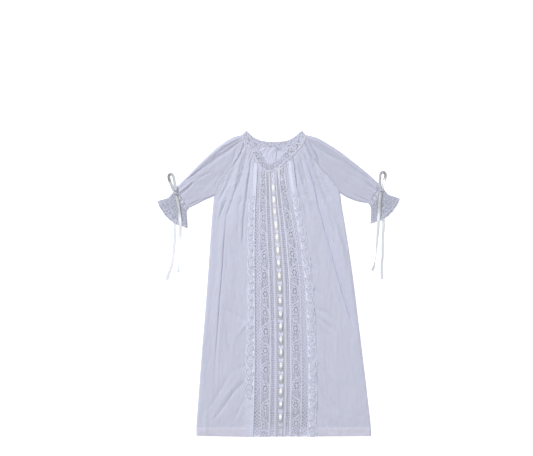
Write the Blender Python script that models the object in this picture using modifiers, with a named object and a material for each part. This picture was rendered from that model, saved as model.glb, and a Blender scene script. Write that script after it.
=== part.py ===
"""A baby daygown laid out flat on its back.

The gown has raglan sleeves gathered into a lace neckband, a front panel of seven lace bands
with a ribbon through the middle one, a gathered frill down each side of that panel, a turned-up
hem, and beaded cuffs with a tied ribbon and a flared frill. The back lies on the floor and the
front lies on the back, folded over along the sleeves' top edges.

Sizes are millimetres in the tables and constants. The origin is on the floor, under the middle
of the gown. +X is to the right of someone facing the front, +Y runs from the hem to the neck and
+Z is up.
"""

import math

import bmesh
import bpy
from mathutils import Vector

MM = 0.001

CLOTH = 1.0  # wall of every cloth piece
GAP = 0.3  # between two pieces at a seam, and between two layers
SKIN = CLOTH / 2

# Heights of the middle of each layer's wall above the floor.
BACK_Z = SKIN
BACK_HEM_Z = BACK_Z + CLOTH + GAP
FRONT_HEM_Z = BACK_HEM_Z + CLOTH + GAP
FRONT_Z = FRONT_HEM_Z + CLOTH + GAP
FOLD_Z = BACK_Z + CLOTH + 0.15  # where the front layer turns over at the outline
FOLD_REACH = 7.0  # how far in from the outline the front layer takes to reach its height
ON_TOP = CLOTH + GAP  # from the middle of a layer to the middle of one lying on it

HEM_DEPTH = 20.0
HEM_INSET = 8.0
FRILL_WIDTH = 18.0
FRILL_FLUTES = 21
RIBBON_WIDTH = 7.0
PLACKET_WIDTH = 14.0
PLACKET_LENGTH = 95.0

# Neckband stations from the left shoulder fold, round the front, to the right one.
NECK_FRONT = [
    # outer x, outer y, inner x, inner y
    (-80.5, 327.5, -70.4, 337.6),
    (-75.5, 308.8, -62.5, 324.0),
    (-66.0, 296.5, -54.1, 310.1),
    (-56.3, 282.6, -45.3, 294.7),
    (-46.2, 266.8, -37.8, 280.4),
    (-37.0, 252.9, -29.9, 267.9),
    (-21.1, 246.7, -19.4, 263.5),
    (-5.1, 252.9, -7.9, 268.7),
    (8.1, 261.7, 2.2, 276.9),
    (18.5, 270.5, 10.6, 286.3),
    (29.5, 279.7, 18.9, 296.0),
    (42.7, 292.9, 28.6, 306.6),
    (55.2, 308.8, 40.9, 321.5),
    (59.8, 327.5, 50.6, 337.6),
]
# Stations of NECK_FRONT where the raglan seams and the lace panel's edges meet the band.
RAGLAN_LEFT, LACE_LEFT, LACE_RIGHT, RAGLAN_RIGHT = 1, 4, 9, 12

# The same band round the back of the neck, from the left fold to the right one.
NECK_BACK = [
    # outer x, outer y, inner x, inner y
    (-80.5, 327.5, -70.4, 337.6),
    (-72.8, 313.6, -62.7, 328.6),
    (-61.2, 303.7, -52.6, 321.1),
    (-47.5, 297.8, -41.4, 316.0),
    (-33.2, 295.1, -31.2, 313.6),
    (-18.9, 294.2, -18.5, 312.3),
    (-5.3, 294.0, -5.9, 312.1),
    (8.6, 294.9, 6.8, 313.0),
    (22.9, 298.2, 19.4, 315.4),
    (39.4, 304.8, 31.9, 321.1),
    (51.5, 314.1, 42.0, 328.6),
    (59.8, 327.5, 50.6, 337.6),
]
BACK_CENTRE = 6.5  # the station of NECK_BACK over the seam down the back

# The front from the neckband to the hem: raglan seams down to the underarm at row 6, side seams
# below it, and the two edges of the lace panel.
BODY = [
    # left x, left y, lace left x, y, lace right x, y, right x, right y
    (-75.5, 308.8, -46.2, 266.8, 18.5, 270.5, 55.2, 308.8),
    (-83.8, 291.0, -46.4, 256.9, 19.8, 259.1, 65.8, 292.1),
    (-93.7, 272.2, -46.9, 245.9, 20.9, 247.0, 77.9, 273.4),
    (-106.9, 253.6, -47.7, 232.7, 22.4, 232.7, 92.2, 254.7),
    (-121.2, 236.0, -48.6, 217.3, 24.6, 217.3, 108.7, 238.2),
    (-133.3, 216.2, -49.7, 199.7, 27.3, 199.7, 123.0, 220.6),
    (-141.9, 194.4, -50.6, 182.1, 30.6, 182.1, 134.6, 200.3),
    (-144.3, 173.2, -51.5, 164.5, 33.9, 164.5, 138.6, 173.2),
    (-147.8, 129.2, -52.4, 122.7, 41.6, 122.7, 146.1, 129.2),
    (-151.8, 74.2, -53.0, 69.9, 49.3, 69.9, 154.9, 74.2),
    (-156.2, 8.2, -52.8, 6.1, 57.0, 6.1, 164.3, 8.2),
    (-161.3, -57.8, -52.4, -57.8, 60.3, -57.8, 172.5, -57.8),
    (-167.9, -134.8, -52.1, -134.8, 63.1, -134.8, 181.9, -134.8),
    (-173.6, -211.8, -52.8, -211.8, 64.7, -211.8, 191.2, -211.8),
    (-178.6, -277.8, -54.1, -277.8, 64.7, -277.8, 198.9, -277.8),
    (-181.1, -315.0, -55.2, -315.0, 64.2, -315.0, 203.1, -315.0),
    (-181.1, -334.0, -55.7, -336.5, 63.6, -335.5, 203.7, -334.5),
]
UNDERARM_ROW = 6
HEM_ROW = len(BODY) - 1

# Sleeves from the shoulder to the cuff: the folded top edge, and the raglan seam down to the
# underarm followed by the edge along the arm's underside.
SLEEVE_LEFT = [
    # top x, top y, low x, low y
    (-80.5, 327.5, -75.5, 308.8),
    (-98.1, 323.3, -83.8, 291.0),
    (-114.6, 314.7, -93.7, 272.2),
    (-131.3, 303.1, -106.9, 253.6),
    (-148.3, 288.8, -121.2, 236.0),
    (-165.0, 272.7, -133.3, 216.2),
    (-181.9, 255.8, -141.9, 194.4),
    (-198.7, 238.2, -160.5, 184.8),
    (-212.5, 225.0, -177.5, 175.9),
    (-225.3, 211.5, -196.5, 167.1),
]
SLEEVE_RIGHT = [
    # top x, top y, low x, low y
    (59.8, 327.5, 55.2, 308.8),
    (82.1, 322.4, 65.8, 292.1),
    (99.0, 313.8, 77.9, 273.4),
    (115.7, 303.7, 92.2, 254.7),
    (132.7, 292.9, 108.7, 238.2),
    (152.4, 278.0, 123.0, 220.6),
    (174.5, 260.4, 134.6, 200.3),
    (191.5, 246.8, 151.0, 189.6),
    (206.5, 233.4, 172.0, 181.4),
    (221.8, 219.7, 197.8, 176.6),
]

SLEEVE_START = 0.02  # row where the cloth starts, clear of the neckband

# Cuff band and frill: where each begins and ends along the arm, on its top and low edges.
CUFF_LEFT = [(-225.9, 210.6, -197.0, 166.3), (-235.0, 199.6, -202.0, 159.2)]
CUFF_RIGHT = [(222.4, 218.9, 198.2, 175.8), (232.8, 206.4, 202.2, 168.9)]
FRILL_LEFT = [
    (-235.4, 199.1, -202.3, 158.6),
    (-242.4, 190.4, -201.4, 146.8),
    (-267.7, 182.1, -200.0, 122.4),
]
FRILL_RIGHT = [
    (233.2, 205.9, 202.4, 168.3),
    (241.4, 197.0, 203.0, 155.6),
    (267.5, 187.8, 201.7, 132.1),
]
FRILL_BULGE = 12.0  # how far the cuff frill's free edge bows out past its corners
CUFF_FLUTES = 5

# Lines of the front's folds. u is 0 at the panel's left edge and 1 at its right one, and rise is
# the fold's height; each has a value at the neck, the underarm, the waist and the hem.
FOLD_ROWS = (0, UNDERARM_ROW, 11, HEM_ROW)
FOLDS_LEFT = [
    # u at neck, underarm, waist, hem; rise at neck, underarm, waist, hem
    (0.00, 0.00, 0.00, 0.00, 0.0, 0.0, 0.0, 0.0),
    (0.05, 0.02, 0.02, 0.02, 0.0, 0.0, 0.0, 0.0),
    (0.08, 0.09, 0.08, 0.06, 0.2, 0.0, 0.0, 0.0),
    (0.13, 0.32, 0.24, 0.22, 2.2, 1.8, 1.5, 0.4),
    (0.20, 0.37, 0.28, 0.27, 0.0, 0.0, 0.0, 0.0),
    (0.31, 0.45, 0.40, 0.40, 2.6, 1.6, 0.6, 0.3),
    (0.42, 0.53, 0.50, 0.50, 0.0, 0.0, 0.0, 0.0),
    (0.54, 0.62, 0.60, 0.60, 2.4, 1.8, 0.7, 0.4),
    (0.66, 0.71, 0.72, 0.72, 0.0, 0.0, 0.0, 0.0),
    (1.00, 1.00, 1.00, 1.00, 0.0, 0.0, 0.0, 0.0),
]
FOLDS_RIGHT = [
    # u at neck, underarm, waist, hem; rise at neck, underarm, waist, hem
    (0.00, 0.00, 0.00, 0.00, 0.0, 0.0, 0.0, 0.0),
    (0.34, 0.27, 0.26, 0.25, 0.0, 0.0, 0.0, 0.0),
    (0.44, 0.35, 0.38, 0.36, 2.4, 1.8, 0.6, 0.3),
    (0.53, 0.43, 0.58, 0.50, 0.0, 0.0, 0.0, 0.0),
    (0.62, 0.50, 0.76, 0.62, 0.0, 0.0, 0.0, 0.0),
    (0.72, 0.56, 0.81, 0.74, 2.6, 1.9, 1.5, 0.4),
    (0.80, 0.70, 0.88, 0.84, 0.0, 0.3, 0.3, 0.0),
    (0.88, 0.82, 0.92, 0.91, 2.0, 1.0, 0.3, 0.2),
    (0.92, 0.92, 0.95, 0.95, 0.5, 0.0, 0.0, 0.0),
    (0.95, 0.98, 0.98, 0.98, 0.0, 0.0, 0.0, 0.0),
    (1.00, 1.00, 1.00, 1.00, 0.0, 0.0, 0.0, 0.0),
]
NECK_SHARE = 0.3  # of a gather's height, where the neckband holds it down

# The lace panel's bands, as shares of its width from left to right.
LACE_BANDS = [
    # name, start, middle, end, height of its gather under the neckband
    ("lace_net_left", 0.00, 0.06, 0.12, 1.2),
    ("lace_scroll_left", 0.12, 0.20, 0.30, 0.6),
    ("lace_narrow_left", 0.30, 0.35, 0.40, 1.4),
    ("lace_beading", 0.40, 0.50, 0.60, 0.5),
    ("lace_narrow_right", 0.60, 0.65, 0.70, 1.4),
    ("lace_scroll_right", 0.70, 0.80, 0.88, 0.6),
    ("lace_net_right", 0.88, 0.94, 1.00, 1.2),
]
LACE_GATHER_ROWS = 5
RIBBON_START_ROW = 3

# Folds of a sleeve's upper layer. across is 0 at the raglan edge and 1 at the folded top edge.
SLEEVE_FOLDS = [
    # across at neck, underarm, cuff; rise at neck, underarm, cuff
    (0.00, 0.00, 0.00, 0.0, 0.0, 0.0),
    (0.14, 0.08, 0.10, 0.0, 0.0, 0.0),
    (0.26, 0.20, 0.24, 1.4, 0.8, 0.8),
    (0.38, 0.34, 0.38, 0.0, 0.4, 0.0),
    (0.58, 0.52, 0.52, 2.2, 1.4, 1.2),
    (0.74, 0.72, 0.68, 0.0, 0.4, 0.0),
    (0.88, 0.86, 0.84, 1.2, 0.6, 1.0),
]

# Ribbon tails from the cuff to their cut ends. z is the middle of the ribbon, and turn is how far
# it stands off flat, in degrees.
TAIL_FRONT_LEFT = [
    # x, y, z, turn
    (-225.6, 193.6, 7.0, 0),
    (-222.5, 183.0, 8.6, 0),
    (-219.8, 168.6, 9.4, 8),
    (-217.8, 151.9, 9.8, 10),
    (-216.3, 137.0, 9.2, 10),
    (-215.8, 121.0, 6.4, 12),
    (-216.5, 101.3, 2.4, 25),
    (-217.4, 84.4, 3.6, 55),
    (-218.7, 62.6, 3.9, 68),
    (-220.2, 42.4, 3.2, 50),
    (-220.7, 25.6, 1.6, 15),
]
TAIL_BACK_LEFT = [
    # x, y, z, turn
    (-224.0, 181.0, 2.6, 0),
    (-226.6, 158.0, 2.6, 0),
    (-228.1, 133.2, 2.5, 0),
    (-228.1, 118.3, 2.0, 10),
    (-227.7, 101.3, 1.9, 15),
    (-229.5, 84.4, 2.4, 25),
    (-231.0, 67.7, 2.6, 35),
    (-234.1, 45.7, 2.6, 30),
    (-238.9, 30.3, 2.1, 20),
    (-246.6, 8.7, 1.0, 5),
]
TAIL_FRONT_RIGHT = [
    # x, y, z, turn
    (224.0, 200.4, 7.0, 0),
    (223.0, 190.0, 8.6, 0),
    (222.0, 175.7, 9.4, -8),
    (220.7, 157.9, 9.8, -10),
    (219.6, 141.0, 9.2, -10),
    (218.5, 125.0, 6.4, -12),
    (217.1, 99.8, 2.4, -25),
    (215.4, 75.6, 3.6, -55),
    (213.0, 54.7, 3.9, -65),
    (209.9, 38.6, 3.0, -40),
    (205.0, 28.5, 1.6, -15),
]
TAIL_BACK_RIGHT = [
    # x, y, z, turn
    (224.6, 190.0, 2.6, 0),
    (227.5, 166.0, 2.6, 0),
    (230.1, 141.8, 2.5, 0),
    (230.3, 124.0, 2.0, -10),
    (229.2, 107.9, 1.9, -15),
    (228.8, 83.7, 2.4, -25),
    (228.4, 59.5, 2.6, -30),
    (226.8, 40.2, 2.0, -20),
    (227.3, 10.7, 1.0, -5),
]
# The bow's one loop, out of the knot and back into it.
LOOP_TURN = 50
LOOP_LEFT = [
    # x, y, z
    (-229.8, 204.2, 7.6),
    (-234.0, 212.0, 6.6),
    (-239.4, 222.8, 4.8),
    (-242.9, 233.0, 3.6),
    (-241.4, 239.2, 3.4),
    (-235.6, 241.2, 3.4),
    (-230.4, 236.6, 3.8),
    (-227.6, 226.1, 5.4),
    (-225.9, 214.0, 7.8),
    (-225.2, 205.0, 8.6),
]
LOOP_RIGHT = [
    # x, y, z
    (222.8, 211.4, 8.6),
    (223.0, 218.4, 7.8),
    (222.6, 230.4, 5.4),
    (224.4, 241.5, 3.8),
    (230.1, 246.4, 3.4),
    (236.8, 243.6, 3.4),
    (238.4, 236.6, 3.6),
    (234.9, 225.0, 4.8),
    (230.8, 216.0, 6.6),
    (228.2, 210.6, 7.6),
]
KNOT_LEFT = (-226.9, 199.0, 7.3)
KNOT_RIGHT = (225.2, 205.8, 7.3)
KNOT_SIZE = (4.0, 4.6, 2.2)  # half sizes

BATISTE = (0.554, 0.578, 0.701)
LACE = (0.480, 0.490, 0.590)
SATIN = (0.780, 0.800, 0.850)


def material(name, colour, roughness):
    made = bpy.data.materials.new(name)
    made.use_nodes = True
    shader = made.node_tree.nodes["Principled BSDF"]
    shader.inputs["Base Color"].default_value = (*colour, 1.0)
    shader.inputs["Roughness"].default_value = roughness
    shader.inputs["Metallic"].default_value = 0.0
    return made


def mix(a, b, share):
    return a + (b - a) * share


def along(table, at):
    """A row of a table read at a fractional row number."""
    low = min(int(at), len(table) - 2)
    return [mix(a, b, at - low) for a, b in zip(table[low], table[low + 1])]


def smooth_along(table, at):
    """As along, but on a smooth curve through the rows."""
    low = min(int(at), len(table) - 2)
    t = at - low
    rows = [table[max(0, min(len(table) - 1, low + k))] for k in (-1, 0, 1, 2)]
    return [
        0.5 * (2 * b + (c - a) * t + (2 * a - 5 * b + 4 * c - d) * t * t + (3 * b - a - 3 * c + d) * t**3)
        for a, b, c, d in zip(*rows)
    ]


def between(knots, values, at):
    """values, given at each of knots, read at a place between them."""
    for (k0, k1), (v0, v1) in zip(zip(knots, knots[1:]), zip(values, values[1:])):
        if at <= k1:
            return mix(v0, v1, (at - k0) / (k1 - k0))
    return values[-1]


def outline():
    """The folded edges of the gown, as segments: sleeves' top and low edges and both sides."""
    chains = []
    for sleeve, side in ((SLEEVE_LEFT, 0), (SLEEVE_RIGHT, 6)):
        tip = NECK_FRONT[0] if side == 0 else NECK_FRONT[-1]
        chains.append([tip[2:]] + [row[:2] for row in sleeve])
        chains.append([row[2:] for row in sleeve[UNDERARM_ROW:]])
        chains.append([tuple(row[side : side + 2]) for row in BODY[UNDERARM_ROW:]])
    return [pair for chain in chains for pair in zip(chain, chain[1:])]


OUTLINE = outline()


def inside(x, y):
    """How far a point is from the nearest folded edge."""
    best = FOLD_REACH
    for (ax, ay), (bx, by) in OUTLINE:
        dx, dy = bx - ax, by - ay
        t = max(0.0, min(1.0, ((x - ax) * dx + (y - ay) * dy) / (dx * dx + dy * dy)))
        best = min(best, math.hypot(x - ax - t * dx, y - ay - t * dy))
    return best


def rolled(depth):
    """0 at a fold's edge to 1 where the layer above it lies level."""
    share = 1 - min(max(depth, 0.0) / FOLD_REACH, 1.0)
    return math.sqrt(1 - share * share)


def front_height(x, y):
    return mix(FOLD_Z, FRONT_Z, rolled(inside(x, y)))


def grid(name, columns, rows, place):
    """An open sheet of columns by rows cells. place(column, row) gives a point in millimetres."""
    mesh = bmesh.new()
    bmesh.ops.create_grid(mesh, x_segments=columns, y_segments=rows, size=0.5)
    for vert in mesh.verts:
        column = round((vert.co.x + 0.5) * columns)
        row = round((0.5 - vert.co.y) * rows)
        vert.co = Vector(place(column, row)) * MM
    data = bpy.data.meshes.new(name)
    mesh.to_mesh(data)
    mesh.free()
    return data


def sheet(name, columns, rows, place, look, tube=False):
    """A cloth piece: the open sheet, thickened equally to both sides. A tube's last column is its
    first."""
    data = grid(name, columns, rows, place)
    if tube:
        mesh = bmesh.new()
        mesh.from_mesh(data)
        bmesh.ops.remove_doubles(mesh, verts=mesh.verts, dist=0.01 * MM)
        mesh.to_mesh(data)
        mesh.free()
    data.materials.append(look)
    made = bpy.data.objects.new(name, data)
    GOWN.objects.link(made)
    wall = made.modifiers.new("wall", "SOLIDIFY")
    wall.thickness = CLOTH * MM
    wall.offset = 0.0
    return made


def across_row(left, right, share, inset=GAP / 2):
    """A point between two edge points, kept half a seam's gap inside both."""
    width = math.hypot(right[0] - left[0], right[1] - left[1])
    t = mix(inset / width, 1 - inset / width, share)
    return mix(left[0], right[0], t), mix(left[1], right[1], t)


def neck_drop(first, last, share, row):
    """How far the neckband's curve lies from the straight line between two of its stations, fading
    out over the rows below the band."""
    curve = along([r[:2] for r in NECK_FRONT], mix(first, last, share))
    start, end = NECK_FRONT[first], NECK_FRONT[last]
    fade = max(0.0, 1 - row / UNDERARM_ROW) ** 2
    return (
        (curve[0] - mix(start[0], end[0], share)) * fade,
        (curve[1] - mix(start[1], end[1], share)) * fade,
    )


def body_point(edges, stations, share, row):
    """A point of the front: edges picks its two columns of BODY, stations the stretch of neckband
    that it hangs from."""
    entry = BODY[row]
    left, right = entry[edges[0] : edges[0] + 2], entry[edges[1] : edges[1] + 2]
    x, y = across_row(left, right, share)
    dx, dy = neck_drop(*stations, share, row)
    below = 2 * GAP if row == 0 else 0.0
    return x + dx, y + dy - below


def swell(row):
    """A gather's share of its height, which is small where the neckband holds it."""
    return mix(NECK_SHARE, 1.0, min(row / 2, 1.0))


def front_side(name, edges, stations, folds):
    """A side of the front, from its raglan and side seams to the lace panel."""

    def place(column, row):
        u = between(FOLD_ROWS, folds[column][:4], row)
        rise = between(FOLD_ROWS, folds[column][4:], row) * swell(row)
        x, y = body_point(edges, stations, u, row)
        return x, y, front_height(x, y) + rise

    return sheet(name, len(folds) - 1, HEM_ROW, place, COTTON)


def lace_band(name, start, middle, end, gather):
    """One band of the lace panel, with a soft gather down its middle under the neckband."""

    def place(column, row):
        inset = GAP / 2 / (BODY[row][4] - BODY[row][2])
        share = (start + inset, middle, end - inset)[column]
        x, y = body_point((2, 4), (LACE_LEFT, LACE_RIGHT), share, row)
        fade = max(0.0, 1 - row / LACE_GATHER_ROWS)
        rise = gather * swell(row) * fade if column == 1 else 0.0
        return x, y, FRONT_Z + rise

    return sheet(name, 2, HEM_ROW, place, NET)


def lace_ribbon():
    """The ribbon through the middle band, lying on its bars."""
    middle = LACE_BANDS[3][2]

    def place(column, row):
        x, y = body_point((2, 4), (LACE_LEFT, LACE_RIGHT), middle, row + RIBBON_START_ROW)
        return x + (column - 0.5) * RIBBON_WIDTH, y, FRONT_Z + ON_TOP

    return sheet("lace_ribbon", 1, HEM_ROW - RIBBON_START_ROW, place, RIBBON)


def side_frill(name, edge, side):
    """The gathered lace down one side of the panel, sewn along edge (columns of BODY) and lying
    outwards: side is -1 on the left and 1 on the right. Its flutes begin under the gathers."""
    rows = 4 * FRILL_FLUTES
    smooth_rows = 3.5

    def place(column, row):
        down = HEM_ROW * row / rows
        x, y = along([r[edge : edge + 2] for r in BODY], down)
        out = column / 2
        fluted = min(1.0, max(0.0, (down - smooth_rows) / 2))
        phase = math.sin(math.tau * FRILL_FLUTES * row / rows + 0.9 * math.sin(row / 7))
        reach = FRILL_WIDTH * (1 - 0.4 * max(0.0, 1 - down / smooth_rows)) + 1.6 * phase * fluted
        lift = out * (0.5 + (1.1 + 1.1 * phase) * fluted)
        return x + side * mix(0.8, reach, out), y - GAP - 3 * (row == 0), FRONT_Z + ON_TOP + lift

    return sheet(name, 2, rows, place, NET)


def back_half(name, edges, side):
    """Half of the back, from its raglan and side seams to the seam down the centre, which stays
    open under the neckband as a placket."""
    band = [row[:2] for row in NECK_BACK]
    corner_station = 1 if side < 0 else len(NECK_BACK) - 2
    corner, middle = along(band, corner_station), along(band, BACK_CENTRE)
    hem_centre = (BODY[HEM_ROW][0] + BODY[HEM_ROW][6]) / 2
    columns = 6

    def place(column, row):
        share = column / columns
        down = row / HEM_ROW
        centre_x = mix(middle[0], hem_centre, down)
        centre_y = mix(middle[1], BODY[HEM_ROW][1], down**1.25)
        opened = min((middle[1] - centre_y) / PLACKET_LENGTH, 1.0)
        centre_x += side * (GAP + PLACKET_WIDTH * math.sin(math.pi * opened**0.6)) / 2
        x = mix(BODY[row][edges] - side * GAP / 2, centre_x, share)
        y = mix(BODY[row][edges + 1], centre_y, share)
        fade = max(0.0, 1 - row / UNDERARM_ROW) ** 2
        top = along(band, mix(corner_station, BACK_CENTRE, share))
        x += (top[0] - mix(corner[0], middle[0], share)) * fade
        y += (top[1] - mix(corner[1], middle[1], share)) * fade
        return x, y - 2 * GAP * (row == 0), BACK_Z

    return sheet(name, columns, HEM_ROW, place, COTTON)


def hem(name, height, columns):
    """The turned-up hem, lying inside the panel that it belongs to."""

    def place(column, row):
        edge = BODY[HEM_ROW - 1 + row]
        x = mix(edge[0] + HEM_INSET, edge[6] - HEM_INSET, column / columns)
        return x, BODY[HEM_ROW][1] + 1.0 + HEM_DEPTH * (1 - row), height

    return sheet(name, columns, 1, place, COTTON)


def neckband():
    """The lace band round the neck: its front and back are one strip, folded at the shoulders."""
    front = [0.06, 0.16, 0.45] + list(range(1, 13)) + [12.55, 12.84, 12.94]
    back = [10.92, 10.5] + list(range(10, 0, -1)) + [0.5, 0.08]
    stations = [("front", t) for t in front] + [("back", t) for t in back]

    def place(column, row):
        layer, at = stations[column % len(stations)]
        table = NECK_FRONT if layer == "front" else NECK_BACK
        outer_x, outer_y, inner_x, inner_y = along(table, at)
        x, y = across_row((inner_x, inner_y), (outer_x, outer_y), row / 2)
        return x, y, front_height(x, y) if layer == "front" else BACK_Z

    return sheet("neckband", len(stations), 2, place, NET, tube=True)


def back_of_fold(depth):
    """The height of the lower layer near a folded edge, where it turns up to meet the upper one."""
    reach = FOLD_Z - BACK_Z
    share = 1 - min(max(depth, 0.0) / reach, 1.0)
    return FOLD_Z - (FOLD_Z - BACK_Z) * math.sqrt(1 - share * share)


def sleeve(name, table, side):
    """A sleeve: one piece folded along its top edge, from the raglan seam on the front, over the
    fold, to the same seam on the back. Below the underarm its two edges meet."""
    rows = len(table) - 1
    knots = (0, UNDERARM_ROW, rows)
    last = len(SLEEVE_FOLDS) - 1
    turn = [0.6, 1.5]  # insets of the lower layer behind the folded edge
    lower = [0.75, 0.5, 0.25, 0.0]

    def place(column, row):
        column = column if side > 0 else last + 1 + len(turn) + len(lower) - column
        top, low = table[row][:2], table[row][2:]
        if row == 0:
            top, low = along(table, SLEEVE_START)[:2], along(table, SLEEVE_START)[2:]
        width = math.hypot(top[0] - low[0], top[1] - low[1])
        tip = SKIN / width
        if column <= last:
            share = between(knots, SLEEVE_FOLDS[column][:3], row)
            rise = between(knots, SLEEVE_FOLDS[column][3:], row) * swell(min(row, rows - row))
        else:
            share, rise = 1.0, 0.0
        if column <= last + 1:
            share = mix(0.15 / width if row < UNDERARM_ROW else tip, 1 - tip, share)
            x, y = mix(low[0], top[0], share), mix(low[1], top[1], share)
            height = FOLD_Z if column == last + 1 else front_height(x, y)
            return x, y, height + rise
        k = column - last - 2
        if k < len(turn):
            share = 1 - (SKIN + turn[k]) / width
            height = back_of_fold(turn[k])
        else:
            share, height = max(lower[k - len(turn)], 0.15 / width), BACK_Z
        return mix(low[0], top[0], share), mix(low[1], top[1], share), height

    columns = last + 1 + len(turn) + len(lower)
    return sheet(name, columns, rows, place, COTTON)


def ring_shares(count):
    """Shares across a flattened tube: over the upper layer, round its fold, and back below."""
    upper = [("upper", k / count) for k in range(count + 1)]
    lower = [("lower", k / 4) for k in (3.8, 3, 2, 1, 0.2)]
    return upper + lower


def flat_tube(name, table, side, bulge, flutes, look):
    """A flattened tube of lace round the wrist, closed at the arm's top and low edges."""
    count = 8 if flutes == 0 else 4 * flutes
    ring = ring_shares(count)
    rows = len(table) - 1

    def place(column, row):
        layer, share = ring[(column if side > 0 else -column) % len(ring)]
        top, low = table[row][:2], table[row][2:]
        width = math.hypot(top[0] - low[0], top[1] - low[1])
        inset = SKIN / width
        t = mix(inset, 1 - inset, share)
        arm = ((low[1] - top[1]) / width * side, (top[0] - low[0]) / width * side)
        out = row / rows
        bow = bulge * out * out * math.sin(math.pi * share)
        wave = math.sin(math.tau * flutes * share) if layer == "upper" else 0.0
        bow += 1.2 * wave * out if flutes else 0.0
        depth = min(t, 1 - t) * width - SKIN
        if layer == "upper":
            height = mix(FOLD_Z, FRONT_Z, rolled(depth))
            if flutes:
                height += 1.3 * out * (1 + wave) * rolled(depth)
        else:
            height = back_of_fold(depth)
        x = mix(low[0], top[0], t) - arm[0] * bow
        y = mix(low[1], top[1], t) - arm[1] * bow
        return x, y, height

    return sheet(name, len(ring), rows, place, look, tube=True)


def cuff_ribbon(name, table):
    """The ribbon through the cuff's beading, where it shows on top."""
    steps = 6

    def place(column, row):
        share = mix(0.16, 0.66, row / steps)
        mid = [mix(a, b, 0.5) for a, b in zip(*table)]
        x, y = mix(mid[2], mid[0], share), mix(mid[3], mid[1], share)
        ax, ay = table[1][0] - table[0][0], table[1][1] - table[0][1]
        length = math.hypot(ax, ay)
        off = (column - 0.5) * RIBBON_WIDTH
        return x + ax / length * off, y + ay / length * off, FRONT_Z + ON_TOP

    return sheet(name, 1, steps, place, RIBBON)


def ribbon(name, route, steps, turn=None):
    """A flat ribbon along a route. Its face turns off level by the route's last column, or by
    turn throughout."""
    def place(column, row):
        at = (len(route) - 1) * row / steps
        here = smooth_along(route, at)
        ahead = smooth_along(route, min(at + 0.1, len(route) - 1))
        behind = smooth_along(route, max(at - 0.1, 0))
        run = Vector((ahead[0] - behind[0], ahead[1] - behind[1], ahead[2] - behind[2])).normalized()
        level = run.cross(Vector((0, 0, 1))).normalized()
        angle = math.radians(here[3] if turn is None else turn)
        width = level * math.cos(angle) + run.cross(level) * math.sin(angle)
        return Vector(here[:3]) + width * (column - 0.5) * RIBBON_WIDTH

    return sheet(name, 1, steps, place, RIBBON)


def knot(name, centre):
    """The bow's knot, a small round lump of ribbon on the cuff."""
    mesh = bmesh.new()
    bmesh.ops.create_uvsphere(mesh, u_segments=10, v_segments=6, radius=1.0)
    for vert in mesh.verts:
        vert.co = Vector([c + v * s for c, v, s in zip(centre, vert.co, KNOT_SIZE)]) * MM
    data = bpy.data.meshes.new(name)
    mesh.to_mesh(data)
    mesh.free()
    data.materials.append(RIBBON)
    data.shade_smooth()
    GOWN.objects.link(bpy.data.objects.new(name, data))


def build():
    back_half("back_left", 0, -1)
    back_half("back_right", 6, 1)
    hem("back_hem", BACK_HEM_Z, 4)
    hem("front_hem", FRONT_HEM_Z, 4)
    front_side("front_left", (0, 2), (RAGLAN_LEFT, LACE_LEFT), FOLDS_LEFT)
    front_side("front_right", (4, 6), (LACE_RIGHT, RAGLAN_RIGHT), FOLDS_RIGHT)
    for band in LACE_BANDS:
        lace_band(*band)
    lace_ribbon()
    side_frill("frill_left", 2, -1)
    side_frill("frill_right", 4, 1)
    neckband()
    sleeve("sleeve_left", SLEEVE_LEFT, -1)
    sleeve("sleeve_right", SLEEVE_RIGHT, 1)
    flat_tube("cuff_left", CUFF_LEFT, -1, 0.0, 0, NET)
    flat_tube("cuff_right", CUFF_RIGHT, 1, 0.0, 0, NET)
    flat_tube("cuff_frill_left", FRILL_LEFT, -1, FRILL_BULGE, CUFF_FLUTES, NET)
    flat_tube("cuff_frill_right", FRILL_RIGHT, 1, FRILL_BULGE, CUFF_FLUTES, NET)
    cuff_ribbon("cuff_ribbon_left", CUFF_LEFT)
    cuff_ribbon("cuff_ribbon_right", CUFF_RIGHT)
    knot("bow_knot_left", KNOT_LEFT)
    knot("bow_knot_right", KNOT_RIGHT)
    ribbon("bow_loop_left", LOOP_LEFT, 20, LOOP_TURN)
    ribbon("bow_loop_right", LOOP_RIGHT, 20, -LOOP_TURN)
    ribbon("tail_front_left", TAIL_FRONT_LEFT, 30)
    ribbon("tail_front_right", TAIL_FRONT_RIGHT, 30)
    ribbon("tail_back_left", TAIL_BACK_LEFT, 26)
    ribbon("tail_back_right", TAIL_BACK_RIGHT, 26)


for old in list(bpy.data.objects):
    bpy.data.objects.remove(old, do_unlink=True)

GOWN = bpy.data.collections.new("baby_daygown")
bpy.context.scene.collection.children.link(GOWN)
COTTON = material("batiste", BATISTE, 0.85)
NET = material("lace", LACE, 0.9)
RIBBON = material("satin", SATIN, 0.35)
build()
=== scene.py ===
"""The looks of a baby daygown that lies flat on its back.

The cloth, lace and ribbons here are thin pieces on the forms of the gown's solids. Every table
below is in millimetres, with the origin on the floor under the middle of the gown, +X to the
right of someone facing the front, +Y from the hem to the neck and +Z up.
"""

import math

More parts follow.
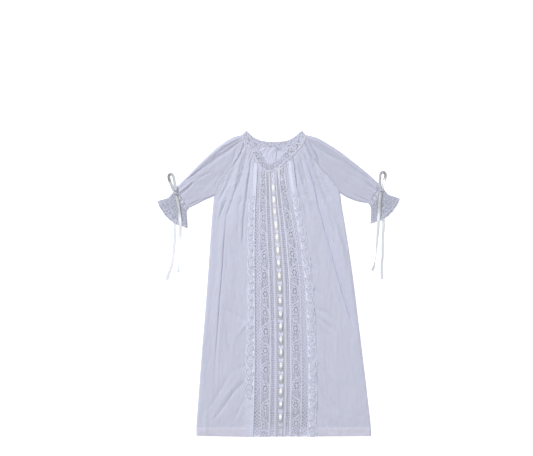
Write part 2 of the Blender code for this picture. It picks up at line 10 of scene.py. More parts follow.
import bmesh
import bpy
import numpy as np
from bpy.props import FloatProperty, FloatVectorProperty, IntProperty, PointerProperty
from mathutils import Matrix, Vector


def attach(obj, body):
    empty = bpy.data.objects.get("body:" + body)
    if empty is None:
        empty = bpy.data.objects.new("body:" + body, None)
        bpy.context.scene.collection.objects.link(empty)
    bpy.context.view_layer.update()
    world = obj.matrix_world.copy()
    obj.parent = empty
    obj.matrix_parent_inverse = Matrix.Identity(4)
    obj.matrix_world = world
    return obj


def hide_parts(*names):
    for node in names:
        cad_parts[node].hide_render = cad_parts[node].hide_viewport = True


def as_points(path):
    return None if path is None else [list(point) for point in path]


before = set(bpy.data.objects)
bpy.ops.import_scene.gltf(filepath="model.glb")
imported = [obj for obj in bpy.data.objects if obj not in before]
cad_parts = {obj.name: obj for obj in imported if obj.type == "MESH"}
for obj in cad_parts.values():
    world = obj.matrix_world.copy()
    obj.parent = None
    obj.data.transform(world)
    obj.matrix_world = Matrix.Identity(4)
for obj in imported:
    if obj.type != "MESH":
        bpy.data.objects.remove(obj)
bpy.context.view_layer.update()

bl_info = {
    "name": "Baby daygown",
    "version": (1, 0, 0),
    "blender": (4, 5, 0),
    "location": "3D View > Sidebar > Daygown",
    "description": "Cloth, lace and ribbons of a baby daygown laid out flat",
    "category": "Add Mesh",
}

MM = 0.001
TURN = math.tau

# The stage, in metres. The camera looks straight down.
FLOOR_SIZE, FLOOR_LEVEL = 12, -0.0004
CAMERA = (-0.0266, 0.1227, 3.4)
SHOWN, FILM = 1.1726, 36  # width that the camera takes in, and its film's in millimetres
LAMPS = [
    # name, place, width, watts
    ("key", (-2.6, 2.95, 2.8), 1.5, 128),
    ("fill", (-0.2, 0, 4.2), 2.6, 52),
    ("side", (2.1, 0.3, 1.4), 1.6, 7),
]
SKY = 0.25
PALE, WHITE = (0.75, 0.75, 0.75), (1, 1, 1)

# Heights of the middle of each layer, how far in from a fold the upper and the lower one reach
# theirs, and the least height that the upper one keeps.
BACK_Z = 0.35
FOLD_Z = 1.1
FRONT_Z = 4.4
FOLD_REACH, FOLD_ROUND = 4.5, 1.4
LOWEST = 1.05
HEM_DEPTH, HEM_RISE = 20, 0.45  # and how much the front rises over its hem
CROWDING = 0.45  # how far a sheet's columns are drawn towards its finest part, below 1
STITCHES, STITCH = 44, 0.012  # in each panel's hem, and one's length as a share of its width

NECK_FRONT = [
    # outer x, outer y, inner x, inner y
    (-80.5, 327.5, -70.4, 337.6),
    (-75.5, 308.8, -62.5, 324),
    (-66, 296.5, -54.1, 310.1),
    (-56.3, 282.6, -45.3, 294.7),
    (-46.2, 266.8, -37.8, 280.4),
    (-37, 252.9, -29.9, 267.9),
    (-21.1, 246.7, -19.4, 263.5),
    (-5.1, 252.9, -7.9, 268.7),
    (8.1, 261.7, 2.2, 276.9),
    (18.5, 270.5, 10.6, 286.3),
    (29.5, 279.7, 18.9, 296),
    (42.7, 292.9, 28.6, 306.6),
    (55.2, 308.8, 40.9, 321.5),
    (59.8, 327.5, 50.6, 337.6),
]
NECK_STATIONS = (1, 4, 9, 12)  # raglan seam, lace, lace, raglan seam
BAND_WIDTH, BAND_LIFT = 16.5, 0.75  # of the neckband, which lies over the gathers
FRONT_BAND, BACK_BAND = 205, 150  # its lengths
BAND_ENDS = 52  # how much of it has no eyelets, by each shoulder
BAND_FLOWER = (5.2, 6.2)  # half a flower's size across and along the neckband
BAND_MIDDLE, BAND_REPEAT = 8.6, 22  # from the sewn edge, and from one flower to the next
BAND_TURN = 0.3  # from each flower to the next

NECK_BACK = [
    # outer x, outer y, inner x, inner y
    (-80.5, 327.5, -70.4, 337.6),
    (-72.8, 313.6, -62.7, 328.6),
    (-61.2, 303.7, -52.6, 321.1),
    (-47.5, 297.8, -41.4, 316),
    (-33.2, 295.1, -31.2, 313.6),
    (-18.9, 294.2, -18.5, 312.3),
    (-5.3, 294, -5.9, 312.1),
    (8.6, 294.9, 6.8, 313),
    (22.9, 298.2, 19.4, 315.4),
    (39.4, 304.8, 31.9, 321.1),
    (51.5, 314.1, 42, 328.6),
    (59.8, 327.5, 50.6, 337.6),
]
BACK_CENTRE = 6.5  # the row at the back's centre seam
BACK_SEWN = 0.36  # where the back meets the neckband, as a share of the band's width
PLACKET_WIDTH = 14
PLACKET_LENGTH = 95

BODY = [
    # left x, left y, lace left x, y, lace right x, y, right x, right y
    (-75.5, 308.8, -46.2, 266.8, 18.5, 270.5, 55.2, 308.8),
    (-83.8, 291, -46.4, 256.9, 19.8, 259.1, 65.8, 292.1),
    (-93.7, 272.2, -46.9, 245.9, 20.9, 247, 77.9, 273.4),
    (-106.9, 253.6, -47.7, 232.7, 22.4, 232.7, 92.2, 254.7),
    (-121.2, 236, -48.6, 217.3, 24.6, 217.3, 108.7, 238.2),
    (-133.3, 216.2, -49.7, 199.7, 27.3, 199.7, 123, 220.6),
    (-141.9, 194.4, -50.6, 182.1, 30.6, 182.1, 134.6, 200.3),
    (-144.3, 173.2, -51.5, 164.5, 33.9, 164.5, 138.6, 173.2),
    (-147.8, 129.2, -52.4, 122.7, 41.6, 122.7, 146.1, 129.2),
    (-151.8, 74.2, -53, 69.9, 49.3, 69.9, 154.9, 74.2),
    (-156.2, 8.2, -52.8, 6.1, 57, 6.1, 164.3, 8.2),
    (-161.3, -57.8, -52.4, -57.8, 60.3, -57.8, 172.5, -57.8),
    (-167.9, -134.8, -52.1, -134.8, 63.1, -134.8, 181.9, -134.8),
    (-173.6, -211.8, -52.8, -211.8, 64.7, -211.8, 191.2, -211.8),
    (-178.6, -277.8, -54.1, -277.8, 64.7, -277.8, 198.9, -277.8),
    (-181.1, -315, -55.2, -315, 64.2, -315, 203.1, -315),
    (-181.1, -334, -55.7, -336.5, 63.6, -335.5, 203.7, -334.5),
]
UNDERARM = 6
HEM = len(BODY) - 1
RAGLAN_REACH = 2.8  # of the puckers beside each raglan seam

SLEEVE_LEFT = [
    # top x, top y, low x, low y
    (-80.5, 327.5, -75.5, 308.8),
    (-98.1, 323.3, -83.8, 291),
    (-114.6, 314.7, -93.7, 272.2),
    (-131.3, 303.1, -106.9, 253.6),
    (-148.3, 288.8, -121.2, 236),
    (-165, 272.7, -133.3, 216.2),
    (-181.9, 255.8, -141.9, 194.4),
    (-198.7, 238.2, -160.5, 184.8),
    (-212.5, 225, -177.5, 175.9),
    (-225.3, 211.5, -196.5, 167.1),
]
SLEEVE_RIGHT = [
    # top x, top y, low x, low y
    (59.8, 327.5, 55.2, 308.8),
    (82.1, 322.4, 65.8, 292.1),
    (99, 313.8, 77.9, 273.4),
    (115.7, 303.7, 92.2, 254.7),
    (132.7, 292.9, 108.7, 238.2),
    (152.4, 278, 123, 220.6),
    (174.5, 260.4, 134.6, 200.3),
    (191.5, 246.8, 151, 189.6),
    (206.5, 233.4, 172, 181.4),
    (221.8, 219.7, 197.8, 176.6),
]

CUFF_LEFT = [
    # top x, top y, low x, low y, as in the sleeves and the frills
    (-225.3, 211.2, -196.6, 166.9),
    (-230.5, 204.6, -199.4, 162.8),
    (-235.2, 199.4, -202.2, 158.9),
]
CUFF_RIGHT = [
    (221.9, 219.5, 197.9, 176.4),
    (227.8, 212.4, 200.2, 172.3),
    (233, 206.2, 202.3, 168.6),
]
FRILL_LEFT = [
    (-235, 199.6, -202.2, 158.9),
    (-242.4, 190.4, -201.4, 146.8),
    (-254.5, 185.9, -200.2, 134.6),
    (-267.7, 182.1, -200, 122.4),
]
FRILL_RIGHT = [
    (232.8, 206.4, 202.3, 168.6),
    (241.4, 197, 203, 155.6),
    (254.2, 192.2, 202, 143.6),
    (267.5, 187.8, 201.7, 132.1),
]
FRILL_BULGE = 12  # of the free edge, away from the arm
# A fold across the left cuff's frill (-1) and across the right one's (1).
CUFF_FOLDS = {
    -1: [(-245.7, 157.4), (-236, 165.9), (-225, 159.8)],
    1: [(228.6, 169.6), (238.2, 176.9), (249.3, 164.7)],
}

# Creases of the front and the sleeves. A crease runs down its rows; rise is its height and is
# below 0 in a trough. left and right are how far it spreads towards the gown's left and right, or
# on a sleeve towards its upper and lower edge as its rows run down to the cuff.
CREASES = {
    "left bright fold": [
        # x, y, rise, left, right
        (-72, 299, 0.6, 4, 4), (-79, 283, 1.2, 7, 5.5), (-88, 262, 1.5, 8.5, 6),
        (-94.5, 228.3, 1.5, 10, 5), (-99.5, 206.3, 1.4, 10, 4.5), (-110, 173.3, 1.1, 11, 4),
        (-118.5, 151.3, 0.7, 12, 3.6), (-120.2, 129, 1.1, 13, 3.8), (-123.2, 96.3, 1.3, 14, 4),
        (-125.4, 63.3, 1.3, 14, 4), (-127.8, 30.3, 1.3, 14, 4), (-130.2, -2.7, 1.3, 14, 4),
        (-133.4, -35.7, 1.2, 14, 4), (-136.8, -79.7, 0.8, 14, 4.5), (-141, -130, 0, 14, 5),
    ],
    "left long line": [
        (-75, 278, 0, 3, 3), (-79.4, 261.3, -0.5, 2.4, 2.6), (-88.2, 228.3, -0.5, 2.2, 2.4),
        (-94.8, 206.3, -0.5, 2.2, 2.4), (-105.8, 173.3, -0.6, 2.2, 2.4),
        (-113.5, 153, -0.5, 2.2, 2.4), (-116.2, 129.3, -0.5, 2.2, 2.4),
        (-119.2, 96.3, -1.3, 2, 3.6), (-121.3, 63.3, -1.5, 2, 3.6), (-123.5, 30.3, -1.6, 2, 3.6),
        (-125.9, -2.7, -1.5, 2, 3.6), (-129, -35.7, -1.4, 2, 3.9), (-132.3, -79.7, -1.9, 2.2, 4.5),
        (-135.6, -123.7, -1.8, 2.6, 5.4), (-139.4, -186, -1, 4, 7.5), (-142, -232, 0, 5, 9),
    ],
    "left line shade": [
        (-114, 150, 0, 10, 8), (-116.5, 128, 0.5, 12, 9), (-119.5, 96, 0.9, 14, 11),
        (-121.6, 63, 1, 14, 11), (-123.8, 30, 1, 14, 12), (-126.2, -3, 1, 14, 12),
        (-129.3, -36, 1, 14, 13), (-132.6, -80, 1, 14, 14), (-136, -124, 0.8, 14, 14),
        (-139.8, -186, 0, 12, 12),
    ],
    "left broad fold": [
        (-82, 208, 0, 7, 7), (-88.5, 188, 1.4, 12, 10), (-93, 165, 2.1, 16, 12),
        (-96, 138, 2.1, 18, 14), (-101, 105, 1.4, 17, 16), (-108, 60, 0.6, 12, 18),
        (-112, 5, 0.6, 11, 20), (-116, -35, 0.7, 11, 18), (-121, -70, 0, 12, 14),
    ],
    "left inner valley": [
        (-68, 291, 0, 3, 3), (-73, 270, -1.6, 5, 4.5), (-78.5, 248, -2.2, 5.5, 5.5),
        (-85, 225, -1.8, 5.5, 5.5), (-91, 205, -0.8, 5, 5), (-95, 190, 0, 5, 5),
    ],
    "left inner fold": [
        (-63.5, 276, 0, 3, 3), (-66, 254, 1.8, 4, 3.6), (-70.5, 229.5, 2.5, 6, 4.5),
        (-74, 205, 2.3, 8, 5.5), (-75.2, 184, 2.1, 9, 5.5), (-79.5, 162, 2.1, 9, 5.5),
        (-81.8, 140, 2, 9, 5.2), (-81.8, 107, 1.8, 8, 5), (-82.5, 80, 0, 8, 5),
    ],
    "left inner tug": [
        (-107, 90, 0, 5, 5), (-101, 76, -1.8, 5.5, 5.5), (-92, 60, -2.1, 5.5, 5.5),
        (-84, 46, 0, 5, 5),
    ],
    "left lace trough": [
        (-58, 280, 0, 3, 3), (-61, 268.6, -0.7, 3.6, 3.2), (-63.8, 246.6, -1, 4, 3.2),
        (-67, 217.3, -1.2, 4.2, 3.6), (-70.6, 190.4, -1.3, 4.4, 3.6),
        (-73.5, 168.4, -1.4, 4.2, 3.2), (-77, 136.6, -1.3, 4, 3.2), (-77.9, 105, -1.3, 3.6, 3),
        (-79.3, 82.8, -0.6, 4, 4), (-81, 60, 0, 4, 4),
    ],
    "left outer valley": [
        (-100, 252, 0, 4, 4), (-108.6, 226, -1.6, 6, 6), (-117.2, 209, -1.5, 5, 5),
        (-126, 192, -1.2, 4, 4), (-134.5, 174, 0, 4, 4),
    ],
    "left outer streak": [
        (-112, 186, 0, 4, 3), (-119.6, 170.8, -1.7, 3.5, 3), (-126, 155, -1.4, 3.5, 3),
        (-132.5, 137, 0, 3.5, 3),
    ],
    "left outer fold": [
        (-116, 197, 0, 4, 4), (-125.5, 178, 1.4, 5, 5), (-132, 156, 1.1, 5, 6),
        (-137, 120, 0, 5, 8),
    ],
    "left raglan fold": [
        (-76, 314, 0.3, 2, 2), (-79.3, 308.9, 1.3, 3, 3), (-85.4, 290.6, 2.2, 3.8, 3.4),
        (-91, 279, 2, 4.2, 3.8), (-96.4, 270, 1.3, 4.6, 4.2), (-103, 257, 0, 5, 4.5),
    ],
    "left raglan line": [
        (-72, 310, 0, 2.2, 2.2), (-75, 304, -0.5, 2.2, 2.2), (-80.5, 291.5, -0.8, 2.3, 2.3),
        (-88, 278.4, -0.9, 2.3, 2.3), (-95, 268, -0.6, 2.4, 2.4), (-99, 261, 0, 2.6, 2.6),
    ],
    "left raglan hollow": [
        (-86, 306, 0, 3, 2.6), (-92.5, 297, -1.4, 4, 3), (-97, 283, -1.5, 4, 3),
        (-101.5, 267.4, -1, 3.2, 3), (-104.5, 255, 0, 3, 3),
    ],
    "left waist hollow": [
        (-128, -52, 0, 6, 6), (-110, -60, -1, 7, 6), (-94, -68, -1.4, 7, 5), (-80, -77, -1.5, 5, 4),
        (-70, -83, 0, 4, 3),
    ],
    "left pull one": [
        (-60, -80, 1.6, 3.5, 3.5), (-69, -86, 2.2, 3.6, 4), (-79, -97, 1.7, 4, 4.5),
        (-89, -109, 0.8, 5, 6), (-97, -120, 0, 5, 7),
    ],
    "left curved line": [
        (-110, -100, 0, 5, 4), (-112.8, -120, -1, 6, 4), (-107.3, -142, -1.4, 5, 4),
        (-94.4, -164, -1.8, 4, 3.5), (-85.3, -182.4, -1.4, 3, 3), (-80, -192, 0, 3, 3),
    ],
    "left pull two": [
        (-66, -176.5, -1, 2, 2), (-76, -180.6, -1.8, 2.2, 2.2), (-87, -187.5, -1.6, 2.4, 2.4),
        (-102, -190.5, -1, 2.8, 2.8), (-112, -196, 0, 3, 3),
    ],
    "left pull three": [
        (-66, -206, -0.8, 2, 2.4), (-79.8, -219, -2.5, 2.4, 2.8), (-90, -230, -2.2, 2.6, 3),
        (-98.1, -238, -1.8, 3, 3.4), (-112.8, -259.4, -1.6, 3, 3.4), (-131.1, -285, -1.2, 3, 4),
        (-145, -298, 0, 3, 4),
    ],
    "left pull four": [
        (-74, -246, 0, 3, 3), (-80, -262, -1.1, 4, 4), (-87, -278, -1.4, 4.5, 4.5),
        (-100, -307, 0, 5, 5),
    ],
    "left lower valley": [
        (-106, -196, 0, 5, 5), (-113, -208, -0.9, 6, 6), (-131, -241, -1.1, 7, 6),
        (-149, -267, -0.8, 7, 6), (-158, -284, 0, 6, 6),
    ],
    "left lower fold": [
        (-82, -206, 0, 4, 5), (-98, -222, 1, 6, 7), (-116, -246, 1, 8, 7), (-136, -275, 0.6, 8, 7),
        (-150, -300, 0, 8, 8),
    ],
    "left hem corner": [
        (-155, -262, 0, 7, 9), (-160, -292, 1.4, 7, 8), (-162, -334, 1, 7, 8),
    ],
    "right bright fold": [
        (57, 304, 0.8, 3.5, 3.5), (62, 285, 2.2, 4, 7), (70, 261, 2.8, 4.2, 8),
        (76, 240, 3, 4.2, 9), (80.6, 226, 3, 4.2, 10), (90, 206.3, 2.4, 5, 6.6),
        (102, 173.3, 2.4, 9, 9), (113, 151.3, 2.4, 13, 14), (122, 129.3, 2.5, 17, 15),
        (131.4, 96.3, 2.6, 21, 15), (140.6, 63.3, 2.6, 22, 15), (149.7, 30.3, 2.6, 22, 14),
        (156.7, -2.7, 2.4, 20, 12), (162.6, -37, 1.2, 16, 11), (160, -75, 0, 5, 9),
    ],
    "right long line": [
        (51.5, 299, 0, 3.8, 2.7), (55, 289, -1.5, 3.6, 2.3), (65.7, 261.3, -2.4, 3.5, 2),
        (71.7, 240, -2.9, 3.5, 2), (76.3, 226, -3.2, 3.5, 2), (82.6, 206.3, -4.4, 4.1, 1.9),
        (88.7, 173.3, -5.8, 4.1, 1.9), (95.6, 151.3, -6.5, 4.1, 1.9),
        (101.5, 129.3, -7.1, 4.1, 1.9), (110.8, 96.3, -7.1, 4.1, 1.9), (120, 63.3, -6.8, 4.1, 1.9),
        (129, 30.3, -6.5, 4.1, 1.9), (137.9, -2.7, -6.4, 4.1, 2), (147.6, -35.7, -4.9, 4.3, 2.2),
        (159.3, -72.4, -2.6, 4.9, 2.5), (169.3, -100, 0, 5.9, 3.1),
    ],
    "right broad trough": [
        (90, 190, 0, 7.2, 3), (92, 173.3, -0.2, 8.1, 3), (95, 151, -0.5, 10.8, 3),
        (101, 129, -0.7, 12.6, 3), (110, 96.3, -1, 15.3, 3), (119.2, 63.3, -1.1, 16.2, 3),
        (128.2, 30.3, -1.1, 16.2, 3), (137.1, -2.7, -1, 15.3, 3), (146.8, -35.7, -0.9, 14.4, 3),
        (156.5, -70, -0.6, 13.5, 4), (165, -100, 0, 12.6, 5),
    ],
    "right tug one": [
        (58, 66, -0.5, 2.8, 2.8), (63, 61, -1.8, 3, 3), (72, 54, -1.9, 3, 3.2),
        (81, 43, -1.3, 3.2, 3.4), (87, 33, 0, 3.8, 3.8),
    ],
    "right tug two": [
        (63, 45, 0, 2.8, 2.8), (69, 40.5, -1.4, 3, 3), (80, 32, -1.8, 3, 3.2),
        (86, 26, 0, 3.4, 3.4),
    ],
    "right tug three": [
        (72, -52, 0, 2.8, 2.8), (78, -60, -2.1, 2.8, 3), (87, -72.5, -2.1, 3, 3.2),
        (93, -81, 0, 3.4, 3.4),
    ],
    "right tug four": [
        (80, -74, 0, 3.2, 3.2), (90, -80, -1.4, 3.6, 3.6), (105, -88, -1.6, 3.8, 3.8),
        (120, -98, -1.4, 4, 4), (131, -107, 0, 4.4, 4.4),
    ],
    "right inner valley": [
        (47, 287, 0, 3, 3), (52, 268, -1.6, 5, 4), (57.5, 245, -1.7, 5.5, 4.5),
        (64, 222, -1.1, 5.5, 4), (70.5, 200, 0, 5.5, 4),
    ],
    "right inner fold": [
        (36.5, 284, 0, 2.6, 3), (39.8, 270, 1.8, 3.2, 4.6), (43.5, 245, 2.6, 3.6, 5.6),
        (49.5, 220, 2.5, 4, 6.6), (56.5, 198, 2.1, 4.6, 8), (64, 176, 1.8, 4.6, 11),
        (71, 150, 1.4, 6, 13), (79, 118, 0.8, 9, 15), (86, 80, 0, 12, 18),
    ],
    "right lace trough": [
        (30.5, 282, 0, 3, 3), (34, 270, -2.2, 3.6, 3.8), (35.6, 244.8, -2.8, 4, 4),
        (37.2, 217.3, -2.6, 4, 4), (40, 195, -1.9, 4, 4), (44, 172, 0, 4, 4),
    ],
    "right middle line": [
        (41.5, 220, 0, 2.6, 2.6), (45.7, 206.3, -1.5, 2.8, 2.8), (52.3, 184.3, -2.3, 3, 2.8),
        (57.8, 167.8, -2.2, 3.2, 3), (61.2, 151, -1, 3.4, 3.4), (62.5, 136, 0, 4, 4),
    ],
    "right raglan fold": [
        (61, 314, 0.4, 2, 2), (66.3, 305.3, 2, 3, 3.2), (75.8, 291.5, 3.2, 3.4, 3.8),
        (83, 275, 2.5, 3.8, 4.2), (90, 261, 0, 4, 4.4),
    ],
    "right raglan line": [
        (57.5, 311, 0, 2.2, 2.2), (61, 304.5, -0.8, 2.2, 2.2), (70, 286, -1.5, 2.3, 2.3),
        (77.6, 271.5, -1.5, 2.4, 2.4), (82, 264.5, 0, 2.6, 2.6),
    ],
    "right raglan hollow": [
        (69, 312, 0, 2.6, 2.6), (73, 304.5, -1.4, 2.8, 3), (82, 291.5, -2.4, 3, 4),
        (87.5, 273, -1.9, 3, 4), (91.5, 257, 0, 3, 3.6),
    ],
    "right outer line": [
        (93, 241, 0, 3.4, 3.4), (99.5, 228.3, -1.2, 3.4, 3.4), (110.3, 209, -1.7, 3.6, 3.6),
        (124.1, 189.8, -1.5, 3.4, 3.4), (132.3, 170.5, -0.8, 3.2, 3.2), (136.5, 155, 0, 3, 3),
    ],
    "right outer valley": [
        (107, 168, 0, 5, 7), (115, 142, -1.5, 5, 8), (124, 118, -1.5, 5, 7), (132, 98, 0, 5, 6),
    ],
    "right edge notch": [
        (129, 119, 0, 3, 3), (135, 107.3, -2, 3, 3), (142, 97.5, -2.3, 3, 3),
        (148.8, 88, -1.5, 3, 3), (153.5, 79, 0, 3, 3),
    ],
    "right edge line": [
        (116, 105, 0, 3, 3), (121.5, 93.5, -1.4, 3.2, 3.2), (128.5, 80, -1.6, 3.2, 3.2),
        (135, 66, -1, 3, 3), (139, 54, 0, 3, 3),
    ],
    "right edge fold": [
        (127, 110, 0, 3.6, 3.6), (134.5, 95, 1.1, 4.4, 4.4), (142, 80, 1, 5, 4.8),
        (148, 60, 0, 5, 5),
    ],
    "right pull one": [
        (68, -4, -1.1, 3.3, 3.3), (78, -11, -2.1, 3.7, 3.5), (93, -24.8, -1.4, 4.5, 4.1),
        (104, -34, 0, 4.9, 4.9),
    ],
    "right pull two": [
        (76, -50, 0, 3.3, 3.3), (86, -57, -2.1, 3.5, 3.5), (106, -64.5, -2.1, 3.7, 3.7),
        (121.5, -79, -1.9, 3.9, 3.9), (130.5, -95, -0.8, 4.5, 4.5), (136, -108, 0, 4.9, 4.9),
    ],
    "right pull two's fold": [
        (78, -64, 0.6, 3, 3), (94, -72, 1.3, 4.6, 4), (112, -84, 1, 6, 5), (124, -100, 0, 7, 6),
    ],
    "right pull three": [
        (82, -84, 0, 3.5, 3.5), (93.3, -98, -2.1, 3.7, 3.5), (102.5, -111.5, -2, 3.9, 3.7),
        (113, -118, 0, 4.3, 4.1),
    ],
    "right lower fold": [
        (78, -152, 1.1, 3.6, 3.6), (86, -166, 2.4, 5, 5), (108, -193.4, 2.2, 7, 6),
        (122.6, -215.4, 1.3, 8, 8), (134, -238, 0, 9, 9),
    ],
    "right lower valley": [
        (80, -192, 0, 4, 4), (86, -208, -2.1, 5, 4), (100.6, -241, -2.4, 6, 5),
        (119, -266.8, -1.8, 7, 6), (134, -288, 0, 8, 7),
    ],
    "right hem valley": [
        (80, -254, 0, 4, 4), (86, -270.4, -2, 5, 4), (100.6, -299.7, -2.1, 6, 5),
        (114, -325, -1.1, 6, 6),
    ],
    "right hem fold": [
        (92, -252, 0, 5, 5), (108, -280, 1.4, 7, 7), (126, -310, 1.3, 8, 8), (132, -334, 0.8, 8, 8),
    ],
    "left sleeve fold": [
        (-82, 322, 0.6, 3, 3), (-100, 315, 1.8, 4, 5), (-117, 306.5, 2.3, 4, 6.5),
        (-146, 284, 2, 5, 7), (-166, 266, 1.2, 6, 6), (-186, 247, 0.8, 5, 4), (-200, 234, 0, 5, 4),
    ],
    "left sleeve valley": [
        (-83, 314, 0, 3, 3), (-91, 307.5, -1.8, 4, 4), (-110, 292.5, -2.6, 6, 6),
        (-134, 277, -2.4, 7, 7), (-152, 263, -1.4, 7, 7), (-166, 250, 0, 7, 7),
    ],
    "left sleeve line": [
        (-154, 265, 0, 3, 3), (-161.4, 258.8, -1.2, 2.6, 3), (-173.6, 249.5, -2.2, 2.5, 3),
        (-192, 236, -2.3, 2.5, 3), (-203, 227, -1, 2.6, 3), (-209, 221, 0, 3, 3),
    ],
    "left sleeve streak": [
        (-146, 247, 0, 3, 3), (-156, 242, -1, 3.2, 3.2), (-168.7, 235.6, -1.2, 3.2, 3.2),
        (-182, 226.5, 0, 3, 3),
    ],
    "left cuff fold": [
        (-184, 230, 0, 3.5, 3), (-192, 223.4, 1.7, 4, 3.2), (-203, 213.8, 2.4, 4, 3.2),
        (-215.2, 204, 2.2, 3.6, 3), (-223.7, 198.5, 1.2, 3, 3),
    ],
    "left cuff line": [
        (-184, 225.5, 0, 2.6, 3), (-190.7, 219, -1.3, 2.4, 2.8), (-200.5, 208, -1.6, 2.4, 2.8),
        (-212.7, 196, -1.2, 2.4, 2.8),
    ],
    "left cuff hollow": [
        (-166, 188, 0, 3.5, 3), (-178.5, 181, -1.7, 3.5, 2.6), (-190.7, 175, -1.8, 3.5, 2.6),
        (-197, 171, -0.8, 3, 2.6),
    ],
    "left elbow valley": [
        (-128, 250, 0, 6, 6), (-142, 232, -0.9, 8, 8), (-160, 214, -0.9, 9, 8),
        (-180, 200, 0, 9, 8),
    ],
    "right sleeve fold": [
        (63, 322, 0.6, 3, 3), (86, 313.5, 1.8, 6, 4), (105, 301.5, 2.3, 6.5, 4),
        (126, 287.5, 1.9, 6.5, 5), (150, 271, 1.1, 5, 6), (176, 250.5, 0.8, 4, 5),
        (196, 235, 0, 4, 5),
    ],
    "right sleeve valley": [
        (65, 315, 0, 3, 3), (73, 309.5, -1.8, 4, 4), (86, 297, -2.6, 5, 5),
        (104.8, 285.5, -2.6, 6, 6), (124, 275.5, -2, 6, 6), (142, 264, 0, 6, 6),
    ],
    "right sleeve line": [
        (139, 271.5, 0, 3, 3), (147, 265.5, -1.4, 3, 2.6), (162.6, 254.5, -2.3, 3, 2.5),
        (179, 243, -2.4, 3, 2.5), (193, 233.5, -1.8, 3, 2.5), (203, 227, 0, 3, 2.8),
    ],
    "right sleeve streak": [
        (140, 249, 0, 3, 3), (152, 242.5, -1.1, 3.2, 3.2), (165, 237, -1.2, 3.2, 3.2),
        (178, 230.5, 0, 3, 3),
    ],
    "right cuff fold": [
        (181, 235, 0, 3, 3.5), (188.5, 229.5, 1.7, 3.2, 4), (200.4, 221, 2.4, 3.2, 4),
        (212.6, 212.8, 2.2, 3, 3.6), (220, 208, 1.2, 3, 3),
    ],
    "right cuff line": [
        (179, 231, 0, 3, 2.6), (186.5, 225, -1.3, 2.8, 2.4), (198, 214.8, -1.6, 2.8, 2.4),
        (210.2, 203.6, -1.2, 2.8, 2.4),
    ],
    "right wrist line": [
        (198, 207, 0, 3, 2.6), (204, 200.5, -1.8, 3, 2.6), (211, 192, -1.2, 3, 2.6),
    ],
    "right cuff hollow": [
        (163, 197, 0, 2.6, 3.5), (176, 190.5, -1.7, 2.6, 3.5), (188, 184.5, -1.8, 2.6, 3.5),
        (198, 180, -0.8, 2.6, 3),
    ],
    "right elbow valley": [
        (114, 252, 0, 6, 6), (130, 236, -0.9, 8, 8), (148, 220, -0.9, 8, 9), (168, 208, 0, 8, 9),
    ],
}

# Small gathers under the neckband, which run along the cloth. at counts 0 to 1 across the left
# panel from its raglan seam, 1 to 2 across the lace and 2 to 3 across the right panel.
GATHERS = [
    # at, rise, length, half width
    (0.05, 0.6, 26, 3.5), (0.17, 0.7, 34, 3.7), (0.33, 0.6, 30, 3.5), (0.46, 0.8, 44, 3.9),
    (0.6, 0.6, 36, 3.5), (0.76, 0.7, 40, 3.7), (0.92, 0.6, 30, 3.3), (1.07, 1, 60, 2.4),
    (1.24, 0.9, 70, 2.8), (1.36, 1.3, 85, 2.6), (1.47, 0.8, 60, 2.4), (1.58, 1.1, 80, 2.6),
    (1.69, 1.4, 95, 2.6), (1.82, 1, 70, 2.8), (1.94, 0.9, 50, 2.4), (2.09, 0.6, 30, 3.3),
    (2.24, 0.7, 38, 3.7), (2.4, 0.6, 34, 3.5), (2.55, 0.8, 42, 3.9), (2.7, 0.7, 34, 3.7),
    (2.83, 0.7, 36, 3.7), (2.94, 0.6, 26, 3.3),
]

LACE_TOP = BODY[0][3]
LACE_LENGTH = LACE_TOP - BODY[HEM][3]
FIRST_SLOT = 45.5  # from the lace's top to its first ribbon slot

# Where the lace panel's bands meet, as shares of its width, at four heights.
BAND_EDGES = [
    # y, net/scroll, scroll/narrow, narrow/beading, beading/narrow, narrow/scroll, scroll/net
    (262, 0.12, 0.3, 0.4, 0.6, 0.7, 0.88),
    (96, 0.12, 0.285, 0.405, 0.605, 0.715, 0.925),
    (-102, 0.115, 0.3, 0.4, 0.595, 0.695, 0.89),
    (-311, 0.12, 0.29, 0.4, 0.58, 0.68, 0.875),
]
LACE_BANDS = [
    # name, flat width
    ("lace_net_left", 12.3),
    ("lace_scroll_left", 18.2),
    ("lace_narrow_left", 10.5),
    ("lace_beading", 20.6),
    ("lace_narrow_right", 10.6),
    ("lace_scroll_right", 20),
    ("lace_net_right", 12.3),
]

# The scroll lace's stem beside one rosette, from the rosette's middle. side is towards the edge
# that the stem runs along, and down is along the band.
VINE = [
    # side, down, radius
    (-7.7, -19.8, 0.55), (-3.6, -16.7, 0.9), (0, -14.4, 1), (4.3, -11.4, 1.05), (7.3, -6.3, 0.95),
    (8.2, 0, 0.85), (8.1, 8, 0.7), (7.8, 15, 0.55), (7.7, 21.2, 0.55),
]
EYELETS = [
    # side, down, half width, half length, in the scroll lace, from the rosette's middle
    (0.6, -11.4, 1.6, 1.3), (-5.8, -10.6, 1.3, 1.9), (4.8, -16.2, 1.8, 1.5), (-5, 12.6, 1.5, 2),
    (0.2, 12.4, 1.5, 1.4), (4.8, 12.8, 1.4, 1.9), (1.2, 18.2, 1.8, 1.6), (-5, 19.4, 1.4, 1.7),
]
LEAVES = [
    # side, down, run to the side, run down, in the scroll lace, from the rosette's middle
    (-6.6, 8.8, 1.2, 3.6), (-2.2, 10.4, 1, 4.4), (2.6, 10.2, -0.6, 4.6), (6.4, 8.6, -1.4, 4),
    (-1.6, 15.8, 2.2, 3.4), (-6.8, -9.4, 2.4, -3.2), (3.8, -11.4, 2.6, 1.8),
]
FLOWER = (5.6, 8.2)  # half a rosette's size across and along the scroll lace

